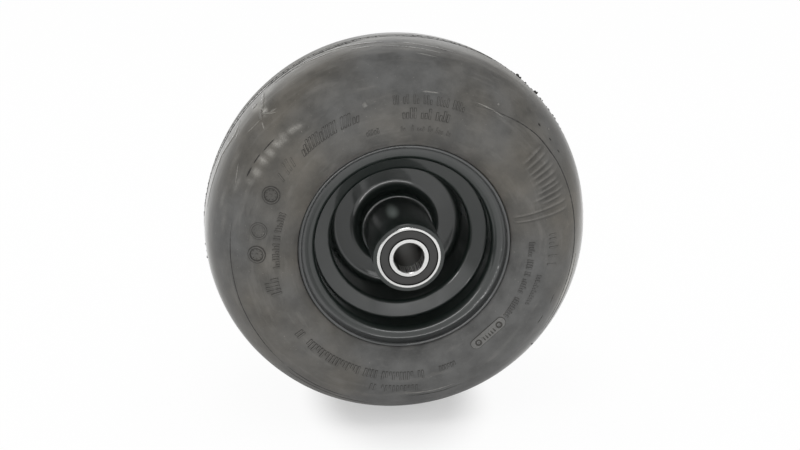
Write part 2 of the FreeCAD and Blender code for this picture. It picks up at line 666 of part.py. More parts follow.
def make_valve_cap():
    """Dust cap with finger flutes."""
    body = new_body("valve_cap")
    roof = f"({CAP_CEILING} + cap_roof)"
    turned(body, "valve_cap_blank", [
        (CAP_BORE, CAP_BOTTOM),
        ("cap_radius", CAP_BOTTOM),
        ("cap_radius", roof),
        ("0", roof),
        ("0", CAP_CEILING),
        (CAP_BORE, CAP_CEILING),
    ])
    round_edges(body, [("cap_radius", roof)], "cap_roof * 0.5")
    whole = body.Shape.Volume
    flute = body.newObject("PartDesign::SubtractiveCylinder", "cap_flute")
    flute.AttachmentSupport = [(plane_of(body, "XZ_Plane"), "")]
    flute.MapMode = "FlatFace"
    flute_axis = "(cap_radius + cap_flute_radius * 0.6)"
    flute.setExpression("Radius", bound("cap_flute_radius"))
    flute.setExpression("Height", bound(f"{roof} - {CAP_BOTTOM}"))
    flute.setExpression("AttachmentOffset.Base.x", bound(flute_axis))
    flute.setExpression("AttachmentOffset.Base.z", bound(f"-{roof}"))
    doc.recompute()
    pattern = body.newObject("PartDesign::PolarPattern", "cap_flutes")
    pattern.Originals = [flute]
    pattern.Axis = (next(axis for axis in body.Origin.OriginFeatures if axis.Role == "Y_Axis"), [""])
    pattern.Angle = 360.0
    pattern.setExpression("Occurrences", bound("cap_flute_count"))
    body.Tip = pattern
    doc.recompute()
    if body.Shape.Volume >= whole:
        raise RuntimeError("the cap's flutes cut nothing")
    on_valve_axis(body)


def check_document():
    """Stops if any feature failed or any piece has no sound shape."""
    doc.recompute()
    for item in doc.Objects:
        if "Invalid" in item.State or "Error" in item.State:
            raise RuntimeError(f"{item.Label} failed: {item.State}")
    for item in subparts:
        if item.Shape.isNull() or not item.Shape.isValid():
            raise RuntimeError(f"{item.Label} has no sound shape")


def write_parts():
    """Writes each piece to its own file."""
    os.makedirs("parts", exist_ok=True)
    for item in subparts:
        item.Shape.exportStep(f"parts/{item.Label}.step")


make_tyre()
face_front(make_rim_half("rim_front_half", "step_edge_reach", "well_radius", "floor_radius"))
cut_valve_hole(make_rim_half("rim_rear_half", "step_reach", "valve_well_radius", "valve_floor_radius"))
make_hub_tube()
make_spacer()
for piece in make_bearing("front"):
    face_front(piece)
make_bearing("rear")
make_valve_rubber()
make_valve_stem()
make_valve_core()
make_valve_pin()
make_valve_cap()
check_document()
write_parts()
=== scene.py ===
"""Looks of a riding mower's caster wheel: moulded tyre, enamelled rim, ground bearings, snap-in valve."""
import math
import random

import bmesh
import bpy
from mathutils import Matrix, Vector, noise


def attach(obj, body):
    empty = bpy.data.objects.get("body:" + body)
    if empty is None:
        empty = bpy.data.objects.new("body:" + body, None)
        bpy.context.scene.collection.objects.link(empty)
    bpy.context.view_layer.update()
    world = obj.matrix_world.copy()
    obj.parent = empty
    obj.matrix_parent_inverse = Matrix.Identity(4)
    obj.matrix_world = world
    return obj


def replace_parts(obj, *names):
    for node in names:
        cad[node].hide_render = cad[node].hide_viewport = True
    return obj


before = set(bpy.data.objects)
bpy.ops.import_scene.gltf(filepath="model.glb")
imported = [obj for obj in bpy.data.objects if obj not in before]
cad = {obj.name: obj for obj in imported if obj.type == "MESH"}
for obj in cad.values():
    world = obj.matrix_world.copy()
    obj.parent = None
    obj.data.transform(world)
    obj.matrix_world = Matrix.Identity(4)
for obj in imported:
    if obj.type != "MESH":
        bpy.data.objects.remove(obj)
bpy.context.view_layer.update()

MM = 0.001
AXLE = Vector((0, 1, 0))
CENTRE = Vector((0, 0, 0))

# The tyre's section in millimetres, as the solid has it
TREAD_RADIUS = 164.0
HALF_WIDTH = 75.0
WIDEST_RADIUS = 107.19
CROWN_EDGE = math.radians(19.81)
CROWN_HALF = 39.985
CROWN_RADIUS = CROWN_HALF / math.sin(CROWN_EDGE)
CROWN_CENTRE = TREAD_RADIUS - CROWN_RADIUS
SHOULDER_RADIUS = (HALF_WIDTH - CROWN_HALF) / (1 - math.sin(CROWN_EDGE))
SHOULDER_CENTRE = HALF_WIDTH - SHOULDER_RADIUS
LOWER_RADIUS = 25.97
LOWER_CENTRE = HALF_WIDTH - LOWER_RADIUS
FOOT_RADIUS = 88.25
FOOT_TURN = math.asin((WIDEST_RADIUS - FOOT_RADIUS) / LOWER_RADIUS)
SHOULDER_START = CROWN_RADIUS * CROWN_EDGE
LOWER_START = SHOULDER_START + SHOULDER_RADIUS * (math.pi / 2 - CROWN_EDGE)
# The bead's corners and the foot of the inside wall: distance from the middle plane, radius
BEAD = [(60.0, FOOT_RADIUS), (57.0, 85.0), (57.0, 76.6), (42.0, 76.6), (42.0, 82.4), (61.2, 94.2)]
# The groove along the tread's middle
GROOVE_WIDTH = 1.2
GROOVE_DEPTH = 0.35

# Places that the finishes know, in millimetres
BORE_RADIUS = 12.7
SEAL_MIDDLE = 19.9
LIP_DUST_AND_REFLECTION_RADIUS = 85.0
PAINTED_HIGHLIGHT_PLACE = Vector((-9, -50, 27.5))


def linear(hex_colour):
    """An sRGB hex colour as linear RGBA."""
    parts = [int(hex_colour[i:i + 2], 16) / 255 for i in (1, 3, 5)]
    return [c / 12.92 if c <= 0.04045 else ((c + 0.055) / 1.055) ** 2.4 for c in parts] + [1.0]


def per_metre(size_mm):
    """Texture scale at which a pattern's cells are about that many millimetres wide."""
    return 1.0 / (size_mm * MM)


def add(tree, kind, sockets=None, **settings):
    """Adds one node. A socket takes a number, a colour, another node or one of its outputs."""
    made = tree.nodes.new(kind)
    for name, value in settings.items():
        setattr(made, name, value)
    for key, value in (sockets or {}).items():
        if isinstance(value, bpy.types.Node):
            value = value.outputs[0]
        if isinstance(value, bpy.types.NodeSocket):
            tree.links.new(value, made.inputs[key])
        else:
            made.inputs[key].default_value = value
    return made


# Kinds of node that come up often. Map Range has its value in socket 0 and then from min, from max, to min
# and to max. Mix has its share in socket 0 and its colours in 6 and 7, and the mixed colour is its output 2.
ATTRIBUTE = "ShaderNodeAttribute"
BUMP = "ShaderNodeBump"
COORDINATE = "ShaderNodeTexCoord"
MATH = "ShaderNodeMath"
MIX = "ShaderNodeMix"
NOISE = "ShaderNodeTexNoise"
RANGE = "ShaderNodeMapRange"
VECTOR = "ShaderNodeVectorMath"
# A place times this is the way to it straight out from the axle
OFF_AXLE = (1.0, 0.0, 1.0)


def new_finish(name):
    """An empty material with its output and its surface shader."""
    finish = bpy.data.materials.new(name)
    finish.use_nodes = True
    tree = finish.node_tree
    tree.nodes.clear()
    shader = add(tree, "ShaderNodeBsdfPrincipled")
    add(tree, "ShaderNodeOutputMaterial", {"Surface": shader})
    return finish, tree, shader


def wind_smears(tree, heading, side, across):
    """Smears that run round the wheel, long on the tread and narrow across it, other ones on each side."""
    wide = 7.7
    long = 45.5
    rings = add(tree, MATH, {0: side, 1: -1.0 / wide}, operation="MULTIPLY")
    rings = add(tree, MATH, {0: rings, 1: across}, operation="MULTIPLY")
    lift = add(tree, "ShaderNodeCombineXYZ", {1: rings})
    slow = Vector(OFF_AXLE) * TREAD_RADIUS / long
    wound = add(tree, VECTOR, {0: heading, 1: slow, 2: lift}, operation="MULTIPLY_ADD")
    return add(tree, NOISE, {"Vector": wound, "Scale": 1.0, "Detail": 4.0, "Roughness": 0.6})


def find_tread(tree, heading, across):
    """How much a place belongs to the tread, which fades out 10 to 46 mm from its middle. At the right its
    look, the pale colour painted as sheen and the real sheen with it, reaches up to 34 mm farther, to the
    mould line."""
    right = add(tree, VECTOR, {0: heading, 1: (0.92, 0.0, -0.39)}, operation="DOT_PRODUCT")
    reach = add(tree, RANGE, {0: right.outputs["Value"], 1: 0.55, 2: 0.95, 3: 0.0, 4: 34.0})
    tread = add(tree, MATH, {0: across, 1: reach}, operation="SUBTRACT")
    return add(tree, RANGE, {0: tread, 1: 46.0, 2: 10.0, 3: 0.0, 4: 1.0}, interpolation_type="SMOOTHSTEP")


def settle_dust(tree, heading, side, tread):
    """Dust, most of it on the tread, partly wiped off at the upper right and, behind, at the upper left."""
    dust = add(tree, RANGE, {0: tread, 1: 0.0, 2: 1.0, 3: 0.14, 4: 1.0})
    wiped = add(tree, VECTOR, {0: heading, 1: (0.77, 0.0, 0.64)}, operation="DOT_PRODUCT")
    wiped = add(tree, RANGE, {0: wiped.outputs["Value"], 1: 0.8, 2: 0.97, 3: 1.0, 4: 0.3},
                interpolation_type="SMOOTHSTEP")
    dust = add(tree, MATH, {0: dust, 1: wiped}, operation="MULTIPLY")
    wiped = add(tree, VECTOR, {0: heading, 1: (-0.8, 0.0, 0.6)}, operation="DOT_PRODUCT")
    wiped = add(tree, RANGE, {0: wiped.outputs["Value"], 1: 0.6, 2: 0.9, 3: 0.0, 4: 1.0})
    wiped = add(tree, MATH, {0: wiped, 1: side}, operation="MULTIPLY")
    wiped = add(tree, RANGE, {0: wiped, 1: 0.0, 2: 1.0, 3: 1.0, 4: 0.25})
    return add(tree, MATH, {0: dust, 1: wiped}, operation="MULTIPLY")


def make_tyre_rubber():
    """Moulded tyre rubber, filled grey and dusty: a dull skin with brownish clouds, paler on the tread, where
    it has been rubbed and where sheen is painted in, with faint smears round the wheel and a little grit."""
    finish, tree, shader = new_finish("moulded_tyre_rubber")
    place = add(tree, COORDINATE).outputs["Object"]
    flat = add(tree, VECTOR, {0: place, 1: OFF_AXLE}, operation="MULTIPLY")
    heading = add(tree, VECTOR, {0: flat}, operation="NORMALIZE")
    side = add(tree, "ShaderNodeSeparateXYZ", {0: place}).outputs[1]
    side = add(tree, MATH, {0: side}, operation="SIGN")
    across = add(tree, ATTRIBUTE, attribute_name="across").outputs["Fac"]

    # Grit and grain are drawn coarser than they are, so that they show
    mottle = add(tree, NOISE, {"Vector": place, "Scale": per_metre(22), "Detail": 5.0, "Roughness": 0.62})
    tint = add(tree, NOISE, {"Vector": place, "Scale": per_metre(110), "Detail": 3.0})
    grit = add(tree, NOISE, {"Vector": place, "Scale": per_metre(1.7), "Detail": 2.0})
    grain = add(tree, NOISE, {"Vector": place, "Scale": per_metre(0.9), "Detail": 3.0})
    smear = wind_smears(tree, heading, side, across)
    tread = find_tread(tree, heading, across)

    # The rubber itself is browner at the upper left
    lean = add(tree, VECTOR, {0: heading, 1: (-0.85, 0.0, 0.5)}, operation="DOT_PRODUCT")
    clouds = add(tree, MATH, {0: lean.outputs["Value"], 1: 0.1, 2: tint}, operation="MULTIPLY_ADD")
    clouds = add(tree, RANGE, {0: clouds, 1: 0.4, 2: 0.62, 3: 0.0, 4: 1.0})
    dark = add(tree, MIX, {0: clouds, 6: linear("#464645"), 7: linear("#4b4842")}, data_type="RGBA")
    light = add(tree, MIX, {0: clouds, 6: linear("#5a5a59"), 7: linear("#5e5a53")}, data_type="RGBA")
    patchy = add(tree, RANGE, {0: mottle, 1: 0.36, 2: 0.64, 3: 0.0, 4: 1.0})
    base = add(tree, MIX, {0: patchy, 6: dark.outputs[2], 7: light.outputs[2]}, data_type="RGBA")

    # Smears all over, patches on the tread painted pale for rubbing and for sheen, and grit
    smeared = add(tree, RANGE, {0: smear, 1: 0.54, 2: 0.74, 3: 0.0, 4: 0.3})
    base = add(tree, MIX, {0: smeared, 6: base.outputs[2], 7: linear("#767470")}, data_type="RGBA")
    pale_and_painted_highlight = add(tree, RANGE, {0: smear, 1: 0.36, 2: 0.64, 3: 0.22, 4: 0.75})
    pale_and_painted_highlight = add(tree, MATH, {0: pale_and_painted_highlight, 1: tread}, operation="MULTIPLY")
    base = add(tree, MIX, {0: pale_and_painted_highlight, 6: base.outputs[2], 7: linear("#878682")}, data_type="RGBA")
    specks = add(tree, RANGE, {0: grit, 1: 0.71, 2: 0.78, 3: 0.0, 4: 0.4})
    base = add(tree, MIX, {0: specks, 6: base.outputs[2], 7: linear("#918e88")}, data_type="RGBA")

    # Scuffs with painted highlights and sheen, and painted shade, lie where the meshes carry them, and the
    # grain feathers the pale ones
    scuff_and_painted_highlight = add(tree, ATTRIBUTE, attribute_name="scuff_and_painted_highlight").outputs["Fac"]
    feather = add(tree, RANGE, {0: grain, 1: 0.35, 2: 0.6, 3: 0.45, 4: 1.0})
    scuff_and_painted_highlight = add(tree, MATH, {0: scuff_and_painted_highlight, 1: feather}, operation="MULTIPLY", use_clamp=True)
    base = add(tree, MIX, {0: scuff_and_painted_highlight, 6: base.outputs[2], 7: linear("#a5a39d")}, data_type="RGBA")
    painted_shade = add(tree, ATTRIBUTE, attribute_name="painted_shade").outputs["Fac"]
    base = add(tree, MIX, {0: painted_shade, 6: base.outputs[2], 7: linear("#242321")}, data_type="RGBA")

    # The dust turns pale at a glancing look, except on the painted shade
    dust = settle_dust(tree, heading, side, tread)
    unshaded = add(tree, MATH, {0: 1.0, 1: painted_shade}, operation="SUBTRACT", use_clamp=True)
    dust = add(tree, MATH, {0: dust, 1: unshaded}, operation="MULTIPLY")

    rough = add(tree, RANGE, {0: mottle, 1: 0.3, 2: 0.7, 3: 0.52, 4: 0.7})
    bump = add(tree, BUMP, {"Height": grain, "Strength": 0.3, "Distance": 0.3 * MM})
    dents = add(tree, BUMP, {"Height": mottle, "Strength": 0.35, "Distance": 1.2 * MM, "Normal": bump})
    tree.links.new(base.outputs[2], shader.inputs["Base Color"])
    tree.links.new(rough.outputs[0], shader.inputs["Roughness"])
    tree.links.new(dents.outputs[0], shader.inputs["Normal"])
    shader.inputs["IOR"].default_value = 1.52
    tree.links.new(dust.outputs[0], shader.inputs["Sheen Weight"])
    shader.inputs["Sheen Roughness"].default_value = 0.35
    return finish


def make_enamel(name, coat, coat_roughness):
    """Black baked enamel on steel: deep, glossy and faintly rippled, with specks of settled dust, a rim lip
    painted paler for its dust and for the reflection it shows, and a pale painted highlight on top of the hub
    tube."""
    finish, tree, shader = new_finish(name)
    place = add(tree, COORDINATE).outputs["Object"]
    ripple = add(tree, NOISE, {"Vector": place, "Scale": per_metre(3.5), "Detail": 1.0})
    haze = add(tree, NOISE, {"Vector": place, "Scale": per_metre(28), "Detail": 4.0})
    dust = add(tree, NOISE, {"Vector": place, "Scale": per_metre(1.2), "Detail": 2.0})
    specks = add(tree, RANGE, {0: dust, 1: 0.68, 2: 0.76, 3: 0.0, 4: 0.35})
    colour = add(tree, MIX, {0: specks, 6: linear("#131b18"), 7: linear("#3a403e")}, data_type="RGBA")

    flat = add(tree, VECTOR, {0: place, 1: OFF_AXLE}, operation="MULTIPLY")
    radius = add(tree, VECTOR, {0: flat}, operation="LENGTH").outputs["Value"]
    # The lip is painted paler, as dust and as painted reflection
    lip_dust_and_reflection = add(tree, RANGE, {0: radius, 1: (LIP_DUST_AND_REFLECTION_RADIUS - 5.0) * MM, 2: LIP_DUST_AND_REFLECTION_RADIUS * MM,
                              3: 0.0, 4: 0.8})
    colour = add(tree, MIX, {0: lip_dust_and_reflection, 6: colour.outputs[2], 7: linear("#464747")}, data_type="RGBA")

    # The painted highlight is longer along the tube than round it
    spot = add(tree, VECTOR, {0: place, 1: PAINTED_HIGHLIGHT_PLACE * MM}, operation="SUBTRACT")
    spot = add(tree, VECTOR, {0: spot, 1: (1.0, 0.3, 1.0)}, operation="MULTIPLY")
    spot = add(tree, VECTOR, {0: spot}, operation="LENGTH").outputs["Value"]
    pale_and_painted_highlight = add(tree, RANGE, {0: spot, 1: 1.0 * MM, 2: 7.0 * MM, 3: 0.8, 4: 0.0},
                 interpolation_type="SMOOTHSTEP")
    colour = add(tree, MIX, {0: pale_and_painted_highlight, 6: colour.outputs[2], 7: linear("#8a928e")}, data_type="RGBA")

    rough = add(tree, RANGE, {0: haze, 1: 0.3, 2: 0.7, 3: 0.36, 4: 0.5})
    bump = add(tree, BUMP, {"Height": ripple, "Strength": 0.12, "Distance": 0.1 * MM})
    tree.links.new(colour.outputs[2], shader.inputs["Base Color"])
    tree.links.new(rough.outputs[0], shader.inputs["Roughness"])
    tree.links.new(bump.outputs[0], shader.inputs["Normal"])
    shader.inputs["IOR"].default_value = 1.56
    shader.inputs["Specular IOR Level"].default_value = 0.4
    shader.inputs["Coat Weight"].default_value = coat
    shader.inputs["Coat Roughness"].default_value = coat_roughness
    return finish


def make_ground_steel():
    """Bearing steel, ground all round: bright, with fine rings left by the grinding wheel and streaks along
    the bore."""
    finish, tree, shader = new_finish("ground_bearing_steel")
    place = add(tree, COORDINATE).outputs["Object"]
    xyz = add(tree, "ShaderNodeSeparateXYZ", {0: place})
    flat = add(tree, "ShaderNodeCombineXYZ", {0: xyz.outputs[0], 2: xyz.outputs[2]})
    radius = add(tree, VECTOR, {0: flat}, operation="LENGTH").outputs["Value"]
    # The rings are drawn coarser than they are, so that they show
    rings = add(tree, "ShaderNodeCombineXYZ", {0: radius, 1: xyz.outputs[1]})
    lines = add(tree, NOISE, {"Vector": rings, "Scale": per_metre(0.25), "Detail": 2.0})
    stain = add(tree, NOISE, {"Vector": place, "Scale": per_metre(9), "Detail": 3.0})
    colour = add(tree, MIX, {0: stain, 6: linear("#d4d5d4"), 7: linear("#eae9e7")}, data_type="RGBA")
    rough = add(tree, RANGE, {0: lines, 1: 0.3, 2: 0.7, 3: 0.16, 4: 0.32})

    streak_width = 0.977
    heading = add(tree, VECTOR, {0: flat}, operation="NORMALIZE")
    streaks = add(tree, NOISE, {"Vector": heading, "Scale": BORE_RADIUS / streak_width, "Detail": 2.0})
    streaks = add(tree, RANGE, {0: streaks, 1: 0.42, 2: 0.58, 3: 0.05, 4: 0.6})
    bore = add(tree, RANGE, {0: radius, 1: (BORE_RADIUS + 0.05) * MM, 2: (BORE_RADIUS + 0.1) * MM,
                             3: 1.0, 4: 0.0})
    rough = add(tree, MIX, {0: bore, 2: rough, 3: streaks})
    bump = add(tree, BUMP, {"Height": lines, "Strength": 0.08, "Distance": 0.02 * MM})
    tree.links.new(colour.outputs[2], shader.inputs["Base Color"])
    tree.links.new(rough.outputs[0], shader.inputs["Roughness"])
    tree.links.new(bump.outputs[0], shader.inputs["Normal"])
    shader.inputs["Metallic"].default_value = 1.0
    return finish


def make_seal_rubber():
    """Nitrile seal rubber: matt charcoal with a moulded grain, drawn coarser than it is so that it shows, and
    black and without gloss along both edges, where the shade of the crevices beside the rings is painted."""
    finish, tree, shader = new_finish("nitrile_seal_rubber")
    place = add(tree, COORDINATE).outputs["Object"]
    grain = add(tree, NOISE, {"Vector": place, "Scale": per_metre(0.6), "Detail": 3.0})
    cloud = add(tree, NOISE, {"Vector": place, "Scale": per_metre(7), "Detail": 3.0})
    colour = add(tree, MIX, {0: cloud, 6: linear("#272726"), 7: linear("#3a3938")}, data_type="RGBA")
    flat = add(tree, VECTOR, {0: place, 1: OFF_AXLE}, operation="MULTIPLY")
    radius = add(tree, VECTOR, {0: flat}, operation="LENGTH").outputs["Value"]
    off_middle = add(tree, MATH, {0: radius, 1: SEAL_MIDDLE * MM}, operation="SUBTRACT")
    off_middle = add(tree, MATH, {0: off_middle}, operation="ABSOLUTE")
    # Both edges are painted black and without gloss as the shade of the crevices there
    crevice_shade = add(tree, RANGE, {0: off_middle, 1: 3.0 * MM, 2: 3.15 * MM, 3: 0.0, 4: 1.0})
    gloss = add(tree, RANGE, {0: crevice_shade, 1: 0.0, 2: 1.0, 3: 0.5, 4: 0.0})
    colour = add(tree, MIX, {0: crevice_shade, 6: colour.outputs[2], 7: linear("#0d0d0d")}, data_type="RGBA")
    rough = add(tree, RANGE, {0: cloud, 1: 0.3, 2: 0.7, 3: 0.5, 4: 0.66})
    bump = add(tree, BUMP, {"Height": grain, "Strength": 0.2, "Distance": 0.05 * MM})
    tree.links.new(colour.outputs[2], shader.inputs["Base Color"])
    tree.links.new(gloss.outputs[0], shader.inputs["Specular IOR Level"])
    tree.links.new(rough.outputs[0], shader.inputs["Roughness"])
    tree.links.new(bump.outputs[0], shader.inputs["Normal"])
    shader.inputs["IOR"].default_value = 1.52
    return finish


def make_plain(name, dark, light, cell_mm, roughness, metallic=0.0, ior=1.5):
    """A finish that varies between two colours in cells of a given size."""
    finish, tree, shader = new_finish(name)
    place = add(tree, COORDINATE).outputs["Object"]
    cloud = add(tree, NOISE, {"Vector": place, "Scale": per_metre(cell_mm), "Detail": 4.0})
    grain = add(tree, NOISE, {"Vector": place, "Scale": per_metre(cell_mm / 8), "Detail": 2.0})
    colour = add(tree, MIX, {0: cloud, 6: linear(dark), 7: linear(light)}, data_type="RGBA")
    rough = add(tree, RANGE, {0: cloud, 1: 0.3, 2: 0.7, 3: roughness - 0.06, 4: roughness + 0.06})
    bump = add(tree, BUMP, {"Height": grain, "Strength": 0.15, "Distance": 0.05 * MM})
    tree.links.new(colour.outputs[2], shader.inputs["Base Color"])
    tree.links.new(rough.outputs[0], shader.inputs["Roughness"])
    tree.links.new(bump.outputs[0], shader.inputs["Normal"])
    shader.inputs["Metallic"].default_value = metallic
    shader.inputs["IOR"].default_value = ior
    return finish


tyre_rubber = make_tyre_rubber()
# Almost black, dull rubber: painted shade round the sidewall marks, and the tread's flash
shade_and_flash_rubber = make_plain("painted_shade_and_flash_rubber", "#2c2b29", "#3f3d39", 3, 0.7, ior=1.52)
# The rim's coat is thick and clear, the tube's thinner and duller
enamel = make_enamel("black_baked_enamel", coat=1.0, coat_roughness=0.07)
tube_enamel = make_enamel("thin_black_enamel", coat=0.6, coat_roughness=0.16)
ground_steel = make_ground_steel()
seal_rubber = make_seal_rubber()
# Cold-drawn tube: grey, with a soft gleam
drawn_steel = make_plain("drawn_steel_tube", "#8a8a89", "#a8a7a4", 6, 0.4, metallic=1.0)
# Moulded nylon: cream and a little waxy
cage_nylon = make_plain("cage_nylon", "#b8ab8c", "#cdc2a6", 5, 0.45)
# Moulded valve rubber: black and half matt
valve_rubber = make_plain("valve_rubber", "#1b1b1b", "#2c2b2a", 5, 0.55, ior=1.52)
# Turned brass: yellow and bright
turned_brass = make_plain("turned_brass", "#a8853f", "#c9a860", 3, 0.3, metallic=1.0)
# Moulded polyethylene: black, with a soft gloss
cap_polyethylene = make_plain("cap_polyethylene", "#141414", "#212121", 4, 0.42)

CAD_FINISHES = {
    "tyre": tyre_rubber, "rim_front_half": enamel, "rim_rear_half": enamel, "hub_tube": tube_enamel,
    "bearing_spacer": drawn_steel, "valve_rubber": valve_rubber, "valve_stem": turned_brass,
    "valve_core": turned_brass, "valve_pin": turned_brass, "valve_cap": cap_polyethylene,
}
for side in ("front", "rear"):
    CAD_FINISHES[f"{side}_inner_ring"] = ground_steel
    CAD_FINISHES[f"{side}_outer_ring"] = ground_steel
    CAD_FINISHES[f"{side}_balls"] = ground_steel
    CAD_FINISHES[f"{side}_cage"] = cage_nylon
    CAD_FINISHES[f"{side}_outer_seal"] = seal_rubber
    CAD_FINISHES[f"{side}_inner_seal"] = seal_rubber
for name, finish in CAD_FINISHES.items():
    cad[name].data.materials.clear()
    cad[name].data.materials.append(finish)


def skin(across, height=0.0):
    """(radius, distance from the middle plane) in millimetres, that far across the tread's middle line
    along the tyre's outer skin and that high off it."""
    if across < SHOULDER_START:
        turn, radius, centre, level = across / CROWN_RADIUS, CROWN_RADIUS, 0.0, CROWN_CENTRE
    elif across < LOWER_START:
        turn = CROWN_EDGE + (across - SHOULDER_START) / SHOULDER_RADIUS
        radius, centre, level = SHOULDER_RADIUS, SHOULDER_CENTRE, WIDEST_RADIUS
    else:
        turn = math.pi / 2 + (across - LOWER_START) / LOWER_RADIUS
        radius, centre, level = LOWER_RADIUS, LOWER_CENTRE, WIDEST_RADIUS
    return level + (radius + height) * math.cos(turn), centre + (radius + height) * math.sin(turn)


def on_tyre(degrees, across, height, side=-1):
    """Point on the tyre: degrees clockwise from the top as seen from the front, side -1 for the front."""
    radius, reach = skin(across, height)
    turn = math.radians(degrees)
    return Vector((radius * math.sin(turn), side * reach, radius * math.cos(turn))) * MM


def add_object(bm, name, finish):
    """Makes the mesh an object in the scene."""
    mesh = bpy.data.meshes.new(name)
    bm.to_mesh(mesh)
    bm.free()
    mesh.materials.append(finish)
    made = bpy.data.objects.new(name, mesh)
    bpy.context.scene.collection.objects.link(made)
    return made


def finish_piece(bm, name, finish, body):
    """Makes the mesh a piece that rides on a body."""
    piece = add_object(bm, name, finish)
    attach(piece, body)
    return piece


def section_arc(bm, vert, centre, turn, steps):
    """Carries a vertex of the section round a centre (distance from middle plane, radius, in mm)."""
    made = bmesh.ops.spin(bm, geom=[vert], cent=(0, -centre[0] * MM, centre[1] * MM), axis=(1, 0, 0),
                          angle=turn, steps=steps, use_merge=False)
    return next(g for g in made["geom_last"] if isinstance(g, bmesh.types.BMVert))


def section_line(bm, vert, reach, radius):
    """Draws the section on to a point."""
    made = bmesh.ops.extrude_vert_indiv(bm, verts=[vert])
    made["verts"][0].co = Vector((0, -reach, radius)) * MM
    return made["verts"][0]


def ring_groove(bm, vert, centre, width, depth):
    """Leads the section through a shallow groove of a given width and returns its far edge."""
    middle = Vector((0, -centre[0], centre[1])) * MM
    turn = width * MM / (vert.co - middle).length / 3
    sink = -depth * MM
    for shift in (sink, 0.0, -sink):
        vert = section_arc(bm, vert, centre, turn, 1)
        vert.co += (vert.co - middle).normalized() * shift
    return vert


# Small ripples on the front sidewall: degrees, and where each starts and ends across the tyre
RIPPLES = [(53.2, 77, 91), (55.8, 76, 92), (58.6, 78, 93), (60.8, 76, 92), (63.2, 77, 93), (65.6, 79, 90),
           (67.4, 78, 94), (69.6, 76, 99), (71.8, 80, 92), (74.3, 77, 120), (77.2, 78, 120)]
RIPPLE_HEIGHT = 1.4
# Half a ripple's width in degrees, how far it runs past its ends and over what length it fades there
RIPPLE_HALF = 0.5
RIPPLE_PAST = 5
RIPPLE_FADE = 6
# The painted highlight on its crest, and the painted shade beside it: strength, and degrees and millimetres
# off the crest
CREST_PAINTED_HIGHLIGHT = 0.2
RIPPLE_PAINTED_SHADE = 0.4
RIPPLE_SHADE_TURN = 0.9
RIPPLE_SHADE_STEP = 2.0


def ripple(degrees, across):
    """Share of a ripple's height at a place on the front sidewall."""
    height = 0.0
    for at, start, end in RIPPLES:
        off = (degrees - at) / RIPPLE_HALF
        inside = min(across - start, end - across) + RIPPLE_PAST
        if abs(off) < 3 and inside > 0:
            height += math.exp(-off * off) * min(1.0, inside / RIPPLE_FADE)
    return height


# Pale smudges on the front, scuffs, and pale sheen painted along the crown and at the right: degrees, across,
# reach round the tyre and across it in millimetres, strength
SMUDGES_AND_PAINTED_SHEEN = [
    (321.8, 75.5, 2.6, 1.8, 0.45), (319.0, 73.8, 4.0, 2.4, 0.5), (315.0, 73.8, 2.8, 3.6, 0.62),
    (312.2, 72.8, 3.2, 4.0, 0.55), (308.5, 73.0, 2.6, 3.6, 0.66), (304.8, 72.2, 2.4, 4.2, 0.7),
    (300.2, 72.8, 2.6, 3.4, 0.62), (296.5, 71.0, 2.0, 2.6, 0.34), (313.5, 20.5, 2.4, 6.0, 0.9),
    (314.8, 31.0, 3.0, 9.0, 0.75), (315.5, 39.8, 2.6, 5.0, 0.75), (316.5, 23.0, 2.6, 8.0, 0.6),
    (319.5, 16.2, 5.0, 5.0, 0.45), (297.0, 17.5, 22.0, 2.6, 0.4), (352.0, 24.0, 14.0, 3.0, 0.3),
    (3.0, 34.0, 12.0, 2.6, 0.3), (341.0, 13.0, 16.0, 3.0, 0.35), (299.0, 47.0, 7.0, 2.6, 0.22),
    (103.0, 59.5, 18.0, 4.0, 0.8), (111.0, 62.0, 12.0, 4.0, 0.5), (293.5, 61.0, 7.0, 2.2, 0.26),
    (287.0, 50.0, 9.0, 2.4, 0.2), (280.5, 57.0, 10.0, 2.6, 0.18),
]
BLOT_SIZE = 5


def smudge_and_painted_sheen(degrees, across, place):
    """How pale the front of the tyre is made there, for scuffs and for painted sheen, in uneven blots."""
    pale = 0.0
    for at, level, round_reach, across_reach, strength in SMUDGES_AND_PAINTED_SHEEN:
        off = math.radians((degrees - at + 180) % 360 - 180) * skin(level)[0] / round_reach
        up = (across - level) / across_reach
        if abs(off) < 3 and abs(up) < 3:
            pale += strength * math.exp(-off * off - up * up)
    return pale * (1.0 + 0.7 * noise.noise(place * per_metre(BLOT_SIZE)))


def unevenness(place):
    """How far in millimetres the moulded skin wanders from the drawn one, always a little below it."""
    return 0.12 * noise.noise(place * per_metre(45)) + 0.05 * noise.noise(place * per_metre(14)) - 0.18


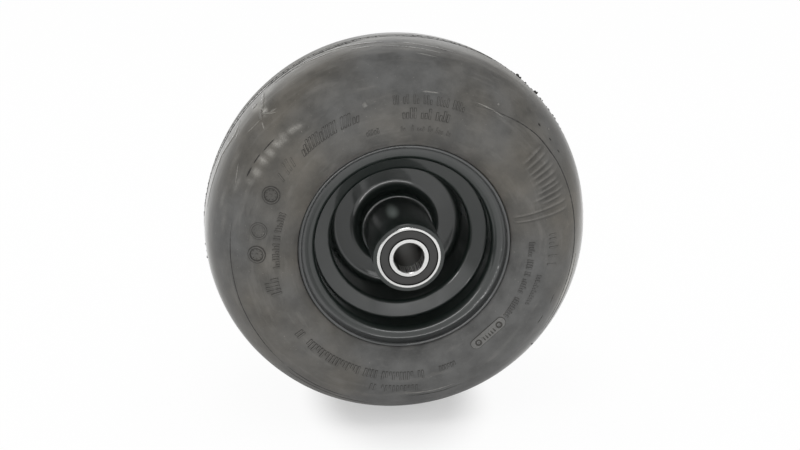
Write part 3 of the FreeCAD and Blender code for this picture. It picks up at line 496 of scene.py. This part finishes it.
def draw_tyre_section(bm, layer):
    """Half of the tyre's section at the top: tread, shoulder, sidewall, bead and the inside wall back to the
    middle. Each point of the skin carries how far across the tyre it lies."""
    crown = (0.0, CROWN_CENTRE)
    shoulder = (SHOULDER_CENTRE, WIDEST_RADIUS)
    lower = (LOWER_CENTRE, WIDEST_RADIUS)
    vert = bm.verts.new(Vector((0, 0, TREAD_RADIUS)) * MM)
    vert = ring_groove(bm, vert, crown, GROOVE_WIDTH, GROOVE_DEPTH)
    vert = section_arc(bm, vert, crown, CROWN_EDGE - GROOVE_WIDTH / CROWN_RADIUS, 14)
    vert = section_arc(bm, vert, shoulder, math.pi / 2 - CROWN_EDGE, 32)
    vert = section_arc(bm, vert, lower, FOOT_TURN, 12)
    bm.verts.ensure_lookup_table()
    travelled = 0.0
    for i, v in enumerate(bm.verts):
        if i:
            travelled += (v.co - bm.verts[i - 1].co).length / MM
        v[layer] = travelled
    for reach, radius in BEAD:
        vert = section_line(bm, vert, reach, radius)
        vert[layer] = travelled
    vert = section_arc(bm, vert, lower, -FOOT_TURN, 5)
    vert = section_arc(bm, vert, shoulder, CROWN_EDGE - math.pi / 2, 7)
    section_arc(bm, vert, crown, -CROWN_EDGE, 5)


# The sweep round the tyre, from where the ripples start: degrees and steps, the finer ones for the ripples
SWEEP_START = 48
SWEEPS = [(34, 102), (326, 326)]


def make_tyre():
    """The tyre: its half section is turned about the axle and mirrored, and its skin then gets its
    unevenness, its ripples with a painted highlight on their crests and painted shade beside them, and its
    pale smudges and painted sheen."""
    bm = bmesh.new()
    layer = bm.verts.layers.float.new("across")
    draw_tyre_section(bm, layer)
    start = Matrix.Rotation(math.radians(SWEEP_START), 3, AXLE)
    bmesh.ops.rotate(bm, verts=bm.verts, cent=CENTRE, matrix=start)
    sweep = bm.verts[:] + bm.edges[:]
    for turn, steps in SWEEPS:
        made = bmesh.ops.spin(bm, geom=sweep, cent=CENTRE, axis=AXLE, angle=math.radians(turn), steps=steps,
                              use_merge=False)
        sweep = made["geom_last"]
    bmesh.ops.mirror(bm, geom=bm.verts[:] + bm.edges[:] + bm.faces[:], axis="Y", merge_dist=1e-6)
    bmesh.ops.remove_doubles(bm, verts=bm.verts, dist=2e-6)
    bmesh.ops.recalc_face_normals(bm, faces=bm.faces)
    scuff_and_painted_highlight = bm.verts.layers.float.new("scuff_and_painted_highlight")
    painted_shade = bm.verts.layers.float.new("painted_shade")
    for v in bm.verts:
        height = 0.0
        if v.co.y < 0:
            degrees = math.degrees(math.atan2(v.co.x, v.co.z))
            height = ripple(degrees, v[layer])
            # A ripple's crest is painted pale as a highlight, and one side of it dark as shade
            v[scuff_and_painted_highlight] = CREST_PAINTED_HIGHLIGHT * height + smudge_and_painted_sheen(degrees, v[layer], v.co)
            v[painted_shade] = RIPPLE_PAINTED_SHADE * ripple(degrees - RIPPLE_SHADE_TURN, v[layer] + RIPPLE_SHADE_STEP)
        v.co += v.normal * (unevenness(v.co) + RIPPLE_HEIGHT * height) * MM
    for face in bm.faces:
        face.smooth = True
    return finish_piece(bm, "tyre_skin", tyre_rubber, "wheel")


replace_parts(make_tyre(), "tyre")


def lay_on_tyre(bm, degrees, across, side):
    """Bends what was last drawn flat (x round the tyre, y towards the rim, z off it, in mm) onto the tyre."""
    layer = bm.verts.layers.float["across"]
    for v in bm.verts:
        if v[layer] == 0.0:
            v[layer] = across + v.co.y
            radius = skin(v[layer])[0]
            v.co = on_tyre(degrees + math.degrees(v.co.x / radius), v[layer], v.co.z, side)


# How deep a mark's foot is sunk in the rubber, and how far its edges are softened
SUNK = 0.7
BAR_EDGE = 0.3
PLATE_EDGE = 0.25


def draw_bar(bm, long, tall, lift, slant=0.0):
    """Flat-topped bar with soft edges, its foot sunk in the rubber."""
    shape = Matrix.Translation((0, 0, (lift - SUNK) / 2)) @ Matrix.Diagonal((long, tall, lift + SUNK, 1))
    verts = bmesh.ops.create_cube(bm, size=1, matrix=shape)["verts"]
    for v in verts:
        v.co.x -= slant * v.co.y
    rim = {e for v in verts for e in v.link_edges if min(w.co.z for w in e.verts) > 0}
    bmesh.ops.bevel(bm, geom=list(rim), offset=min(BAR_EDGE, lift * 0.6), offset_type="OFFSET",
                    segments=2, profile=0.5, affect="EDGES", material=-1)


def draw_ring(bm, radius, width, lift, at=(0.0, 0.0), steps=40):
    """Raised ring of a round section; a radius of nought makes a dome."""
    inner = max(0.0, radius - width / 2)
    outer = radius + width / 2
    crest = radius - width / 4 if inner else 0.0
    section = [(inner, -SUNK), (outer, -SUNK), (outer, lift * 0.5), (radius + width / 4, lift), (crest, lift),
               (inner, lift * 0.5)]
    verts = [bm.verts.new((r, 0, h)) for r, h in section]
    edges = [bm.edges.new((verts[i], verts[i - 1])) for i in range(len(verts))]
    bmesh.ops.spin(bm, geom=verts + edges, cent=CENTRE, axis=(0, 0, 1), angle=math.tau, steps=steps,
                   use_merge=True)
    layer = bm.verts.layers.float["across"]
    bmesh.ops.remove_doubles(bm, verts=[v for v in bm.verts if v[layer] == 0.0], dist=1e-3)
    bmesh.ops.translate(bm, verts=[v for v in bm.verts if v[layer] == 0.0], vec=(at[0], at[1], 0))


def draw_plate(bm, long, tall, lift):
    """Low plate with round ends."""
    corner = tall / 2
    half = long / 2 - corner
    outline = []
    for end in (1, -1):
        for i in range(13):
            turn = math.radians(-90 + 15 * i) + (0 if end > 0 else math.pi)
            x = end * half + corner * math.cos(turn)
            outline.append(bm.verts.new((x, corner * math.sin(turn), -SUNK)))
    foot = bm.faces.new(outline)
    made = bmesh.ops.extrude_face_region(bm, geom=[foot])
    top = [g for g in made["geom"] if isinstance(g, bmesh.types.BMVert)]
    bmesh.ops.translate(bm, verts=top, vec=(0, 0, lift + SUNK))
    rim = [e for e in bm.edges if all(v in top for v in e.verts)]
    bmesh.ops.bevel(bm, geom=rim, offset=PLATE_EDGE, offset_type="OFFSET", segments=2, profile=0.5,
                    affect="EDGES", material=-1)


# Rows of plain raised bars on the sidewall: first and last degree, place across, height of a bar, its length
# round the tyre, gap, lift, slant
ROWS = [
    (-5, 22, 85.5, 6.5, 1.1, 1.6, 0.5, 0.0), (-2, 18, 96.5, 7.5, 1.3, 1.7, 0.8, 0.0),
    (-3, 20, 108.5, 4.5, 0.8, 1.4, 0.35, 0.0), (85, 100, 89.0, 8.0, 1.2, 2.6, 0.3, 0.0),
    (88, 127, 108.5, 4.6, 0.9, 1.3, 0.55, 0.0), (103, 118, 98.0, 4.0, 0.9, 1.5, 0.4, 0.0),
    (155, 166, 102.5, 4.5, 1.0, 1.5, 0.6, 0.0), (172, 235, 101.5, 7.0, 1.2, 1.9, 0.7, 0.0),
    (175, 195, 88.0, 6.5, 1.1, 2.2, 0.5, 0.0), (253, 262, 100.5, 11.0, 1.3, 1.9, 0.6, 0.0),
    (265, 292, 106.5, 5.0, 0.9, 1.3, 0.5, 0.0), (303, 313, 91.0, 9.0, 1.3, 2.6, 0.4, 0.35),
    (316, 342, 91.5, 8.5, 1.4, 1.8, 0.85, 0.35), (342, 350, 107.5, 4.2, 0.9, 1.3, 0.5, 0.0),
]
# Shares of a row's height that its bars have, and how often there is a space in place of a bar
BAR_SHARES = (1.0, 1.0, 0.75, 0.5)
SPACES = 0.12
# Round stamps: degrees, across, lift; their ring, the dot in it and the small dots round that, in millimetres
STAMPS = [(271.5, 91.0, 0.8), (281.0, 91.0, 0.35), (296.0, 92.0, 0.8)]
STAMP_RADIUS = 6.2
STAMP_LINE = 1.1
STAMP_DOT = 2.2
SMALL_DOT = 1.0
SMALL_DOTS = 8
SMALL_DOTS_RADIUS = 3.9
# The plate: its place and size, how far in degrees its studs lie from its middle and its bars from each other
PLATE_AT = 137.7
PLATE_ACROSS = 108.5
PLATE_LONG = 36.0
PLATE_TALL = 8.6
PLATE_LIFT = 0.4
PLATE_PALE = 0.18
STUD_TURN = 6.3
STUD_WIDTH = 1.8
STUD_LIFT = 0.7
PLATE_BARS = 5
PLATE_BAR_TURN = 1.55
# Painted shade round a mark: its lift off the rubber, and how much longer it is than a bar for each
# millimetre of lift
MARK_SHADE_LIFT = 0.04
MARK_SHADE_SPREAD = 1.1


def draw_row(bm, mark_shade, row, side, shift, pick):
    """One row of plain bars, with painted shade round each."""
    first, last, across, tall, long, gap, lift, slant = row
    step = math.degrees((long + gap) / skin(across)[0])
    spread = lift * MARK_SHADE_SPREAD
    for i in range(int((last - first) / step)):
        if pick.random() < SPACES:
            continue
        bar = tall * pick.choice(BAR_SHARES)
        draw_bar(bm, long, bar, lift, slant)
        # Painted shade round the bar, wider the higher the bar stands
        draw_bar(mark_shade, long + spread, bar + spread, MARK_SHADE_LIFT, slant)
        for mesh in (bm, mark_shade):
            lay_on_tyre(mesh, shift + first + step * (i + 0.5), across + (tall - bar) / 2, side)


def draw_stamp(bm, mark_shade, stamp, side, shift):
    """One round stamp: a ring with painted shade round it, a dot in the middle and small dots between."""
    degrees, across, lift = stamp
    draw_ring(bm, STAMP_RADIUS, STAMP_LINE, lift)
    draw_ring(mark_shade, STAMP_RADIUS, STAMP_LINE + lift * 2, MARK_SHADE_LIFT)
    for mesh in (bm, mark_shade):
        lay_on_tyre(mesh, shift + degrees, across, side)
    draw_ring(bm, 0.0, STAMP_DOT, lift, steps=16)
    lay_on_tyre(bm, shift + degrees, across, side)
    for i in range(SMALL_DOTS):
        turn = math.tau * i / SMALL_DOTS
        at = (SMALL_DOTS_RADIUS * math.cos(turn), SMALL_DOTS_RADIUS * math.sin(turn))
        draw_ring(bm, 0.0, SMALL_DOT, lift, at=at, steps=10)
        lay_on_tyre(bm, shift + degrees, across, side)


def draw_studded_plate(bm, mark_shade, side, shift):
    """The plate, a little paler than the tyre, with painted shade round it, its two studs with painted shade
    round them, and a row of dark bars between them painted as the shade of recesses.
    """
    draw_plate(bm, PLATE_LONG, PLATE_TALL, PLATE_LIFT)
    pale = bm.verts.layers.float.new("scuff_and_painted_highlight")
    layer = bm.verts.layers.float["across"]
    for v in bm.verts:
        v[pale] = PLATE_PALE if v[layer] == 0.0 else 0.0
    draw_plate(mark_shade, PLATE_LONG + 1.0, PLATE_TALL + 1.0, MARK_SHADE_LIFT + 0.01)
    for mesh in (bm, mark_shade):
        lay_on_tyre(mesh, shift + PLATE_AT, PLATE_ACROSS, side)
    for turn in (-STUD_TURN, STUD_TURN):
        draw_ring(mark_shade, STUD_WIDTH + 0.4, STUD_WIDTH, STUD_LIFT - 0.05, steps=24)
        lay_on_tyre(mark_shade, shift + PLATE_AT + turn, PLATE_ACROSS, side)
        draw_ring(bm, 0.0, STUD_WIDTH, STUD_LIFT, steps=16)
        lay_on_tyre(bm, shift + PLATE_AT + turn, PLATE_ACROSS, side)
    for i in range(PLATE_BARS):
        turn = PLATE_BAR_TURN * (i - (PLATE_BARS - 1) / 2)
        draw_bar(mark_shade, 1.4, 3.8, PLATE_LIFT + 0.2)
        lay_on_tyre(mark_shade, shift + PLATE_AT + turn, PLATE_ACROSS, side)


def make_sidewall_marks(name, side, shift):
    """One sidewall's raised marks, and the painted shade round them as a piece of its own."""
    bm = bmesh.new()
    mark_shade = bmesh.new()
    for mesh in (bm, mark_shade):
        mesh.verts.layers.float.new("across")
    pick = random.Random(7)
    for row in ROWS:
        draw_row(bm, mark_shade, row, side, shift, pick)
    for stamp in STAMPS:
        draw_stamp(bm, mark_shade, stamp, side, shift)
    draw_studded_plate(bm, mark_shade, side, shift)
    for mesh in (bm, mark_shade):
        bmesh.ops.recalc_face_normals(mesh, faces=mesh.faces)
    finish_piece(bm, f"{name}_sidewall_marks", tyre_rubber, "wheel")
    finish_piece(mark_shade, f"{name}_sidewall_painted_shade", shade_and_flash_rubber, "wheel")


make_sidewall_marks("front", side=-1, shift=0.0)
make_sidewall_marks("rear", side=1, shift=18.0)

# Strips: millimetres from one station to the next, and width of the skirt that sinks each edge in the rubber
STRIP_STEP = 1.4
STRIP_SKIRT = 0.4


def draw_strip(bm, path, width, lift, look, strength, edge, pick):
    """Thin uneven strip along a path of (degrees, across) on the front; width is half of its own. Edge is the
    share of its look that is left at its edges, and a wide strip is fainter than a narrow one."""
    lengths = [0.0]
    for (d0, a0), (d1, a1) in zip(path, path[1:]):
        lengths.append(lengths[-1] + math.hypot(math.radians(d1 - d0) * skin(a0)[0], a1 - a0))
    stations = max(6, int(lengths[-1] / STRIP_STEP))
    wobble = [pick.uniform(0.45, 1.0) for i in range(stations + 1)]
    layer = bm.verts.layers.float["across"]
    strength /= 0.8 + 0.3 * width
    for v in bmesh.ops.create_grid(bm, x_segments=stations, y_segments=4, size=0.5)["verts"]:
        share = min(1.0, max(0.0, v.co.x + 0.5))
        row = round(4 * v.co.y)
        went = share * lengths[-1]
        leg = max(i for i in range(len(path) - 1) if lengths[i] <= went + 1e-9)
        (d0, a0), (d1, a1) = path[leg], path[leg + 1]
        part = (went - lengths[leg]) / (lengths[leg + 1] - lengths[leg])
        radius = skin(a0)[0]
        ahead = Vector((math.radians(d1 - d0) * radius, a1 - a0)).normalized()
        ends = min(1.0, 4 * share, 4 - 4 * share) ** 0.6
        reach = width * ends * wobble[round(share * stations)]
        off = row * reach if abs(row) < 2 else math.copysign(reach + STRIP_SKIRT, row)
        v[layer] = max(0.0, a0 + (a1 - a0) * part + off * ahead.x)
        v[look] = strength * ends * wobble[-1 - round(share * stations)] * (1.0 if row == 0 else edge)
        v.co = on_tyre(d0 + (d1 - d0) * part - math.degrees(off * ahead.y / radius), v[layer],
                       lift if abs(row) < 2 else -SUNK)


# Mould lines, painted dark as the shade of the small step each makes: each a path of (degrees, across) and
# half its width
MOULD_LINES = [
    ([(24, 81), (30, 78), (37.5, 74.5), (44, 71), (50, 68.2), (57, 67), (62, 65.6), (68.5, 65), (76, 64.5),
      (93, 64.2), (102, 64), (110, 64), (117, 62.5), (125, 62)], 0.55),
    ([(96, 59), (106, 58.5), (116, 57.5), (127, 57)], 0.45),
    ([(281, 66.5), (262, 67.2), (254, 67), (240, 67), (226, 66)], 0.5),
    ([(224, 66), (212, 65.5), (199, 66)], 0.5),
    ([(222, 60), (206, 60.5), (190, 60)], 0.45),
    ([(297, 66.8), (301, 66.6)], 0.8),
    ([(302, 66.5), (306, 66.8)], 0.8),
    ([(307, 67.5), (313, 68.5)], 0.5),
    ([(158, 77), (166, 76), (180, 77.5)], 0.45),
    ([(110, 76), (114, 75.5)], 0.4),
    ([(119, 76), (123, 76)], 0.4),
    ([(272, 5), (281, 6), (290, 5)], 1.4),
    ([(288, 5), (300, 6), (309, 5), (319, 4.8)], 2.6),
    ([(318, 4.6), (326, 3.8), (334, 3.4)], 2.6),
    ([(333, 3.4), (345.2, 3.4), (351, 3.4)], 3.0),
    ([(350, 3), (357, 3.4), (372, 5), (390, 3.4)], 0.9),
    ([(322, 11), (330, 10), (338, 11)], 0.6),
    ([(48, 58), (49.4, 58.4)], 0.9),
    ([(54.2, 58.8), (55.4, 58.6)], 0.8),
    ([(59.2, 57.8), (60.4, 57.6)], 0.7),
]
# What has been rubbed pale, and pale sheen painted near the crown at the top, in the same form
SCUFFS_AND_PAINTED_SHEEN = [
    ([(307.5, 14.5), (303.8, 22.5), (301, 21.2), (296, 17.5), (290.2, 19.2), (285, 18.6), (279.8, 20)], 2.6),
    ([(317.8, 11), (315.5, 35)], 2.2),
    ([(313.3, 15), (313.8, 22)], 3.0),
    ([(315, 33), (314, 39), (313.2, 46)], 2.6),
    ([(314, 38), (316.5, 46), (319.4, 48)], 1.8),
    ([(313.2, 43.5), (310, 42.5), (307.3, 40.5)], 1.3),
    ([(313.2, 46), (312.2, 56)], 1.2),
    ([(316, 46), (318.5, 51)], 1.0),
    ([(299.5, 52), (295.5, 57), (292.5, 60)], 1.0),
    ([(338, 8), (344, 11), (350, 15), (356, 19)], 2.2),
    ([(355, 27), (363, 31), (372.5, 36.5)], 1.5),
    ([(359, 21), (368, 26), (377, 30)], 1.3),
    ([(364, 40), (371, 44)], 1.2),
    ([(326, 9), (334, 12), (341, 15)], 1.8),
    ([(346, 22), (353, 25)], 1.2),
    ([(365, 79), (372, 79)], 1.1),
    ([(384, 77.6), (392, 77), (397, 77.6)], 1.0),
    ([(344, 84), (346, 86)], 4.0),
    ([(32.2, 69), (32.8, 71)], 1.6),
    ([(52.2, 51), (52.8, 53)], 1.4),
    ([(160, 81.5), (170, 80.5), (182, 82)], 0.9),
    ([(306, 25), (303, 30)], 1.2),
]


def make_strips(name, paths, lift, look, strength, edge):
    """One piece of all the strips of a kind."""
    bm = bmesh.new()
    bm.verts.layers.float.new("across")
    layer = bm.verts.layers.float.new(look)
    pick = random.Random(3)
    for path, width in paths:
        draw_strip(bm, path, width, lift, layer, strength, edge, pick)
    bmesh.ops.recalc_face_normals(bm, faces=bm.faces)
    for face in bm.faces:
        face.smooth = True
    finish_piece(bm, name, tyre_rubber, "wheel")


make_strips("mould_lines", MOULD_LINES, lift=0.01, look="painted_shade", strength=1.45, edge=0.9)
make_strips("tread_scuffs_and_painted_sheen", SCUFFS_AND_PAINTED_SHEEN, lift=0.0, look="scuff_and_painted_highlight", strength=0.85, edge=0.0)

# Flash on the tread: how far in degrees it stays clear of the wheel's four outermost points, so that the
# wheel keeps its size, the stretch where it is tall, and its height there and elsewhere
FLASH_CLEAR = 4
TALL_FLASH_FROM = 38
TALL_FLASH_TO = 78
TALL_FLASH = 0.8
LOW_FLASH = 0.3
# Stubs of vent whiskers: degrees, across, width, height
STUBS = [(39.5, 0.8, 3.4, 1.6), (40.6, 1.4, 2.0, 1.2), (46.8, 2.5, 2.6, 1.5), (47.6, 1.0, 1.8, 2.0),
         (263.0, 12.0, 1.6, 0.6), (131.0, 58.0, 1.6, 0.8)]


def make_tread_flash():
    """Ragged flash that the mould left along the tread's middle, with a few stubs of vent whiskers."""
    bm = bmesh.new()
    bm.verts.layers.float.new("across")
    pick = random.Random(11)
    degrees = 0.0
    while degrees < 360:
        if FLASH_CLEAR < degrees % 90 < 90 - FLASH_CLEAR:
            tallest = TALL_FLASH if TALL_FLASH_FROM < degrees < TALL_FLASH_TO else LOW_FLASH
            draw_bar(bm, pick.uniform(0.8, 2.4), pick.uniform(0.3, 0.6), pick.uniform(0.08, tallest))
            lay_on_tyre(bm, degrees, pick.uniform(0.4, 1.2), -1)
        degrees += pick.uniform(0.6, 2.4)
    for degrees, across, width, lift in STUBS:
        draw_ring(bm, 0.0, width, lift, steps=12)
        lay_on_tyre(bm, degrees, across, -1)
    bmesh.ops.recalc_face_normals(bm, faces=bm.faces)
    finish_piece(bm, "tread_flash", shade_and_flash_rubber, "wheel")


make_tread_flash()

# The valve's stem in millimetres: its outline down to the thread's root as (radius, distance from the wheel's
# middle plane), and the thread's ridge
VALVE_AXIS = Vector((0, 0, -65.8))
STEM = [(1.5, 30.3), (2.9, 30.3), (2.9, 55.9), (3.45, 55.9), (3.45, 66.5), (3.05, 66.9), (2.55, 66.9),
        (2.55, 50.9), (1.5, 50.9)]
THREAD_START = 56.2
THREAD_PITCH = 0.8
THREAD_TURNS = 12
TURN_STEPS = 24
RIDGE = [(3.4, 0.0), (3.78, 0.32), (3.78, 0.48), (3.4, THREAD_PITCH)]


def make_threaded_stem():
    """The valve's brass stem: turned as the solid is, but down to the thread's root, with the ridge wound
    round it."""
    bm = bmesh.new()
    verts = [bm.verts.new(Vector((radius, reach, 0)) * MM) for radius, reach in STEM]
    edges = [bm.edges.new((verts[i], verts[i - 1])) for i in range(len(verts))]
    bmesh.ops.spin(bm, geom=verts + edges, cent=CENTRE, axis=AXLE, angle=math.tau, steps=40, use_merge=True)
    ridge = [bm.verts.new(Vector((radius, THREAD_START + reach, 0)) * MM) for radius, reach in RIDGE]
    edges = [bm.edges.new((ridge[i], ridge[i - 1])) for i in range(len(ridge))]
    rise = AXLE * THREAD_PITCH / TURN_STEPS * MM
    bmesh.ops.spin(bm, geom=ridge + edges, cent=CENTRE, axis=AXLE, dvec=rise, angle=math.tau * THREAD_TURNS,
                   steps=THREAD_TURNS * TURN_STEPS, use_merge=False)
    bmesh.ops.holes_fill(bm, edges=bm.edges, sides=len(ridge))
    bmesh.ops.translate(bm, verts=bm.verts, vec=VALVE_AXIS * MM)
    bmesh.ops.recalc_face_normals(bm, faces=bm.faces)
    return finish_piece(bm, "threaded_stem", turned_brass, "wheel")


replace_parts(make_threaded_stem(), "valve_stem")

# Camera of the photograph, fitted to the circles of the rim and the bearing, in millimetres; shifts in pixels
AIM = Vector((0, -9.5, 0))
AZIMUTH = math.radians(-7.57)
ELEVATION = math.radians(19.48)
DISTANCE = 1109
SENSOR_WIDTH = 36.0
FOCAL_LENGTH = 57.9
PICTURE_WIDTH = 800
SHIFT_X = 3.8
SHIFT_Y = 0.6


def set_camera():
    """Camera that sees the wheel as the photograph does."""
    away = Vector((math.sin(AZIMUTH) * math.cos(ELEVATION), -math.cos(AZIMUTH) * math.cos(ELEVATION),
                   math.sin(ELEVATION)))
    lens = bpy.data.cameras.new("photo_view")
    lens.sensor_width = SENSOR_WIDTH
    lens.lens = FOCAL_LENGTH
    lens.shift_x = SHIFT_X / PICTURE_WIDTH
    lens.shift_y = SHIFT_Y / PICTURE_WIDTH
    camera = bpy.data.objects.new("photo_view", lens)
    camera.location = (AIM + away * DISTANCE) * MM
    camera.rotation_euler = away.to_track_quat("Z", "Y").to_euler()
    bpy.context.scene.collection.objects.link(camera)
    bpy.context.scene.camera = camera


set_camera()

# The studio's floor in metres
FLOOR_LEVEL = -TREAD_RADIUS * MM
FLOOR_HALF = 12.0
# Where the floor's shade starts to fade and has faded, and how white the floor looks under the tyre, away
# from it and in glossy pieces
SHADE_FADES = 0.045
SHADE_ENDS = 0.09
WHITE_UNDER_TYRE = 0.45
WHITE_AWAY = 0.94
WHITE_IN_GLOSS = 0.1


def make_paper():
    """White studio paper: seen as white away from the tyre, and shaded as paper is under it."""
    finish, tree, shader = new_finish("white_studio_paper")
    shader.inputs["Base Color"].default_value = linear("#f4f4f4")
    shader.inputs["Roughness"].default_value = 0.9
    shader.inputs["Specular IOR Level"].default_value = 0.0
    glow = add(tree, "ShaderNodeEmission", {"Color": (1.0, 1.0, 1.0, 1.0), "Strength": 1.0})
    rays = add(tree, "ShaderNodeLightPath")
    seen = add(tree, MATH, {0: rays.outputs["Is Camera Ray"], 1: rays.outputs["Is Transmission Ray"]},
               operation="MAXIMUM")
    place = add(tree, COORDINATE).outputs["Object"]
    near = add(tree, VECTOR, {0: place, 1: (1.0, 0.62, 0.0)}, operation="MULTIPLY")
    near = add(tree, VECTOR, {0: near}, operation="LENGTH").outputs["Value"]
    white = add(tree, RANGE, {0: near, 1: SHADE_FADES, 2: SHADE_ENDS, 3: WHITE_UNDER_TYRE, 4: WHITE_AWAY},
                interpolation_type="SMOOTHSTEP")
    share = add(tree, MATH, {0: seen, 1: white}, operation="MULTIPLY")
    mirrored = add(tree, MATH, {0: rays.outputs["Is Glossy Ray"], 1: WHITE_IN_GLOSS}, operation="MULTIPLY")
    share = add(tree, MATH, {0: share, 1: mirrored}, operation="MAXIMUM")
    paper = add(tree, "ShaderNodeMixShader", {0: share, 1: shader, 2: glow})
    tree.links.new(paper.outputs[0], tree.nodes["Material Output"].inputs["Surface"])
    return finish


def make_floor():
    """Plain white studio floor, which shows the most of its shade under the tyre."""
    bm = bmesh.new()
    bmesh.ops.create_grid(bm, x_segments=1, y_segments=1, size=FLOOR_HALF)
    bmesh.ops.translate(bm, verts=bm.verts, vec=(0, 0, FLOOR_LEVEL))
    add_object(bm, "studio_floor", make_paper())


make_floor()


def make_black_cloth():
    """Black studio cloth, as thick at each place as the mesh says."""
    finish, tree, shader = new_finish("black_studio_cloth")
    shader.inputs["Base Color"].default_value = linear("#2a2a2a")
    shader.inputs["Roughness"].default_value = 0.9
    weave = add(tree, ATTRIBUTE, attribute_name="weave").outputs["Fac"]
    clear = add(tree, "ShaderNodeBsdfTransparent")
    cloth = add(tree, "ShaderNodeMixShader", {0: weave, 1: clear, 2: shader})
    tree.links.new(cloth.outputs[0], tree.nodes["Material Output"].inputs["Surface"])
    return finish


def hang_cloth(name, low, high, level, finish):
    """Level cloth of the studio, thin at its edges, which nothing but the enamel and the steel shows."""
    bm = bmesh.new()
    layer = bm.verts.layers.float.new("weave")
    for v in bmesh.ops.create_grid(bm, x_segments=4, y_segments=4, size=0.5)["verts"]:
        v[layer] = 1.0 if max(abs(v.co.x), abs(v.co.y)) < 0.4 else 0.0
    bmesh.ops.scale(bm, verts=bm.verts, vec=(high[0] - low[0], high[1] - low[1], 1.0))
    bmesh.ops.translate(bm, verts=bm.verts, vec=((low[0] + high[0]) / 2, (low[1] + high[1]) / 2, level))
    cloth = add_object(bm, name, finish)
    cloth.visible_camera = False
    cloth.visible_diffuse = False
    cloth.visible_shadow = False


black_cloth = make_black_cloth()
hang_cloth("ceiling_cloth", (-18, -18), (18, 18), 4.3, black_cloth)
hang_cloth("front_cloth", (-0.6, -0.85), (0.04, -0.25), FLOOR_LEVEL + 0.002, black_cloth)


def make_lamp(name, place, width, height, power):
    """Soft lamp that faces the wheel."""
    data = bpy.data.lights.new(name, "AREA")
    data.shape = "RECTANGLE"
    data.size = width
    data.size_y = height
    data.energy = power
    lamp = bpy.data.objects.new(name, data)
    lamp.location = place
    lamp.rotation_euler = Vector(place).to_track_quat("Z", "Y").to_euler()
    bpy.context.scene.collection.objects.link(lamp)


make_lamp("overhead_softbox", (-0.3, -0.8, 4.0), width=2.0, height=2.0, power=40.0)
make_lamp("front_strip", (-0.3, -3.4, 0.2), width=2.6, height=0.34, power=20.0)

WORLD_LIGHT = 0.85


def make_world():
    """White studio all round, which lights the wheel a little less than it is seen."""
    world = bpy.data.worlds.new("white_studio")
    bpy.context.scene.world = world
    world.use_nodes = True
    tree = world.node_tree
    tree.nodes.clear()
    rays = add(tree, "ShaderNodeLightPath")
    seen = add(tree, MATH, {0: rays.outputs["Is Camera Ray"], 1: rays.outputs["Is Glossy Ray"]},
               operation="MAXIMUM")
    seen = add(tree, MATH, {0: seen, 1: rays.outputs["Is Transmission Ray"]}, operation="MAXIMUM")
    level = add(tree, RANGE, {0: seen, 1: 0.0, 2: 1.0, 3: WORLD_LIGHT, 4: 1.0})
    light = add(tree, "ShaderNodeBackground", {"Color": (1.0, 1.0, 1.0, 1.0), "Strength": level})
    add(tree, "ShaderNodeOutputWorld", {"Surface": light})


make_world()
bpy.context.scene.view_settings.view_transform = "Standard"
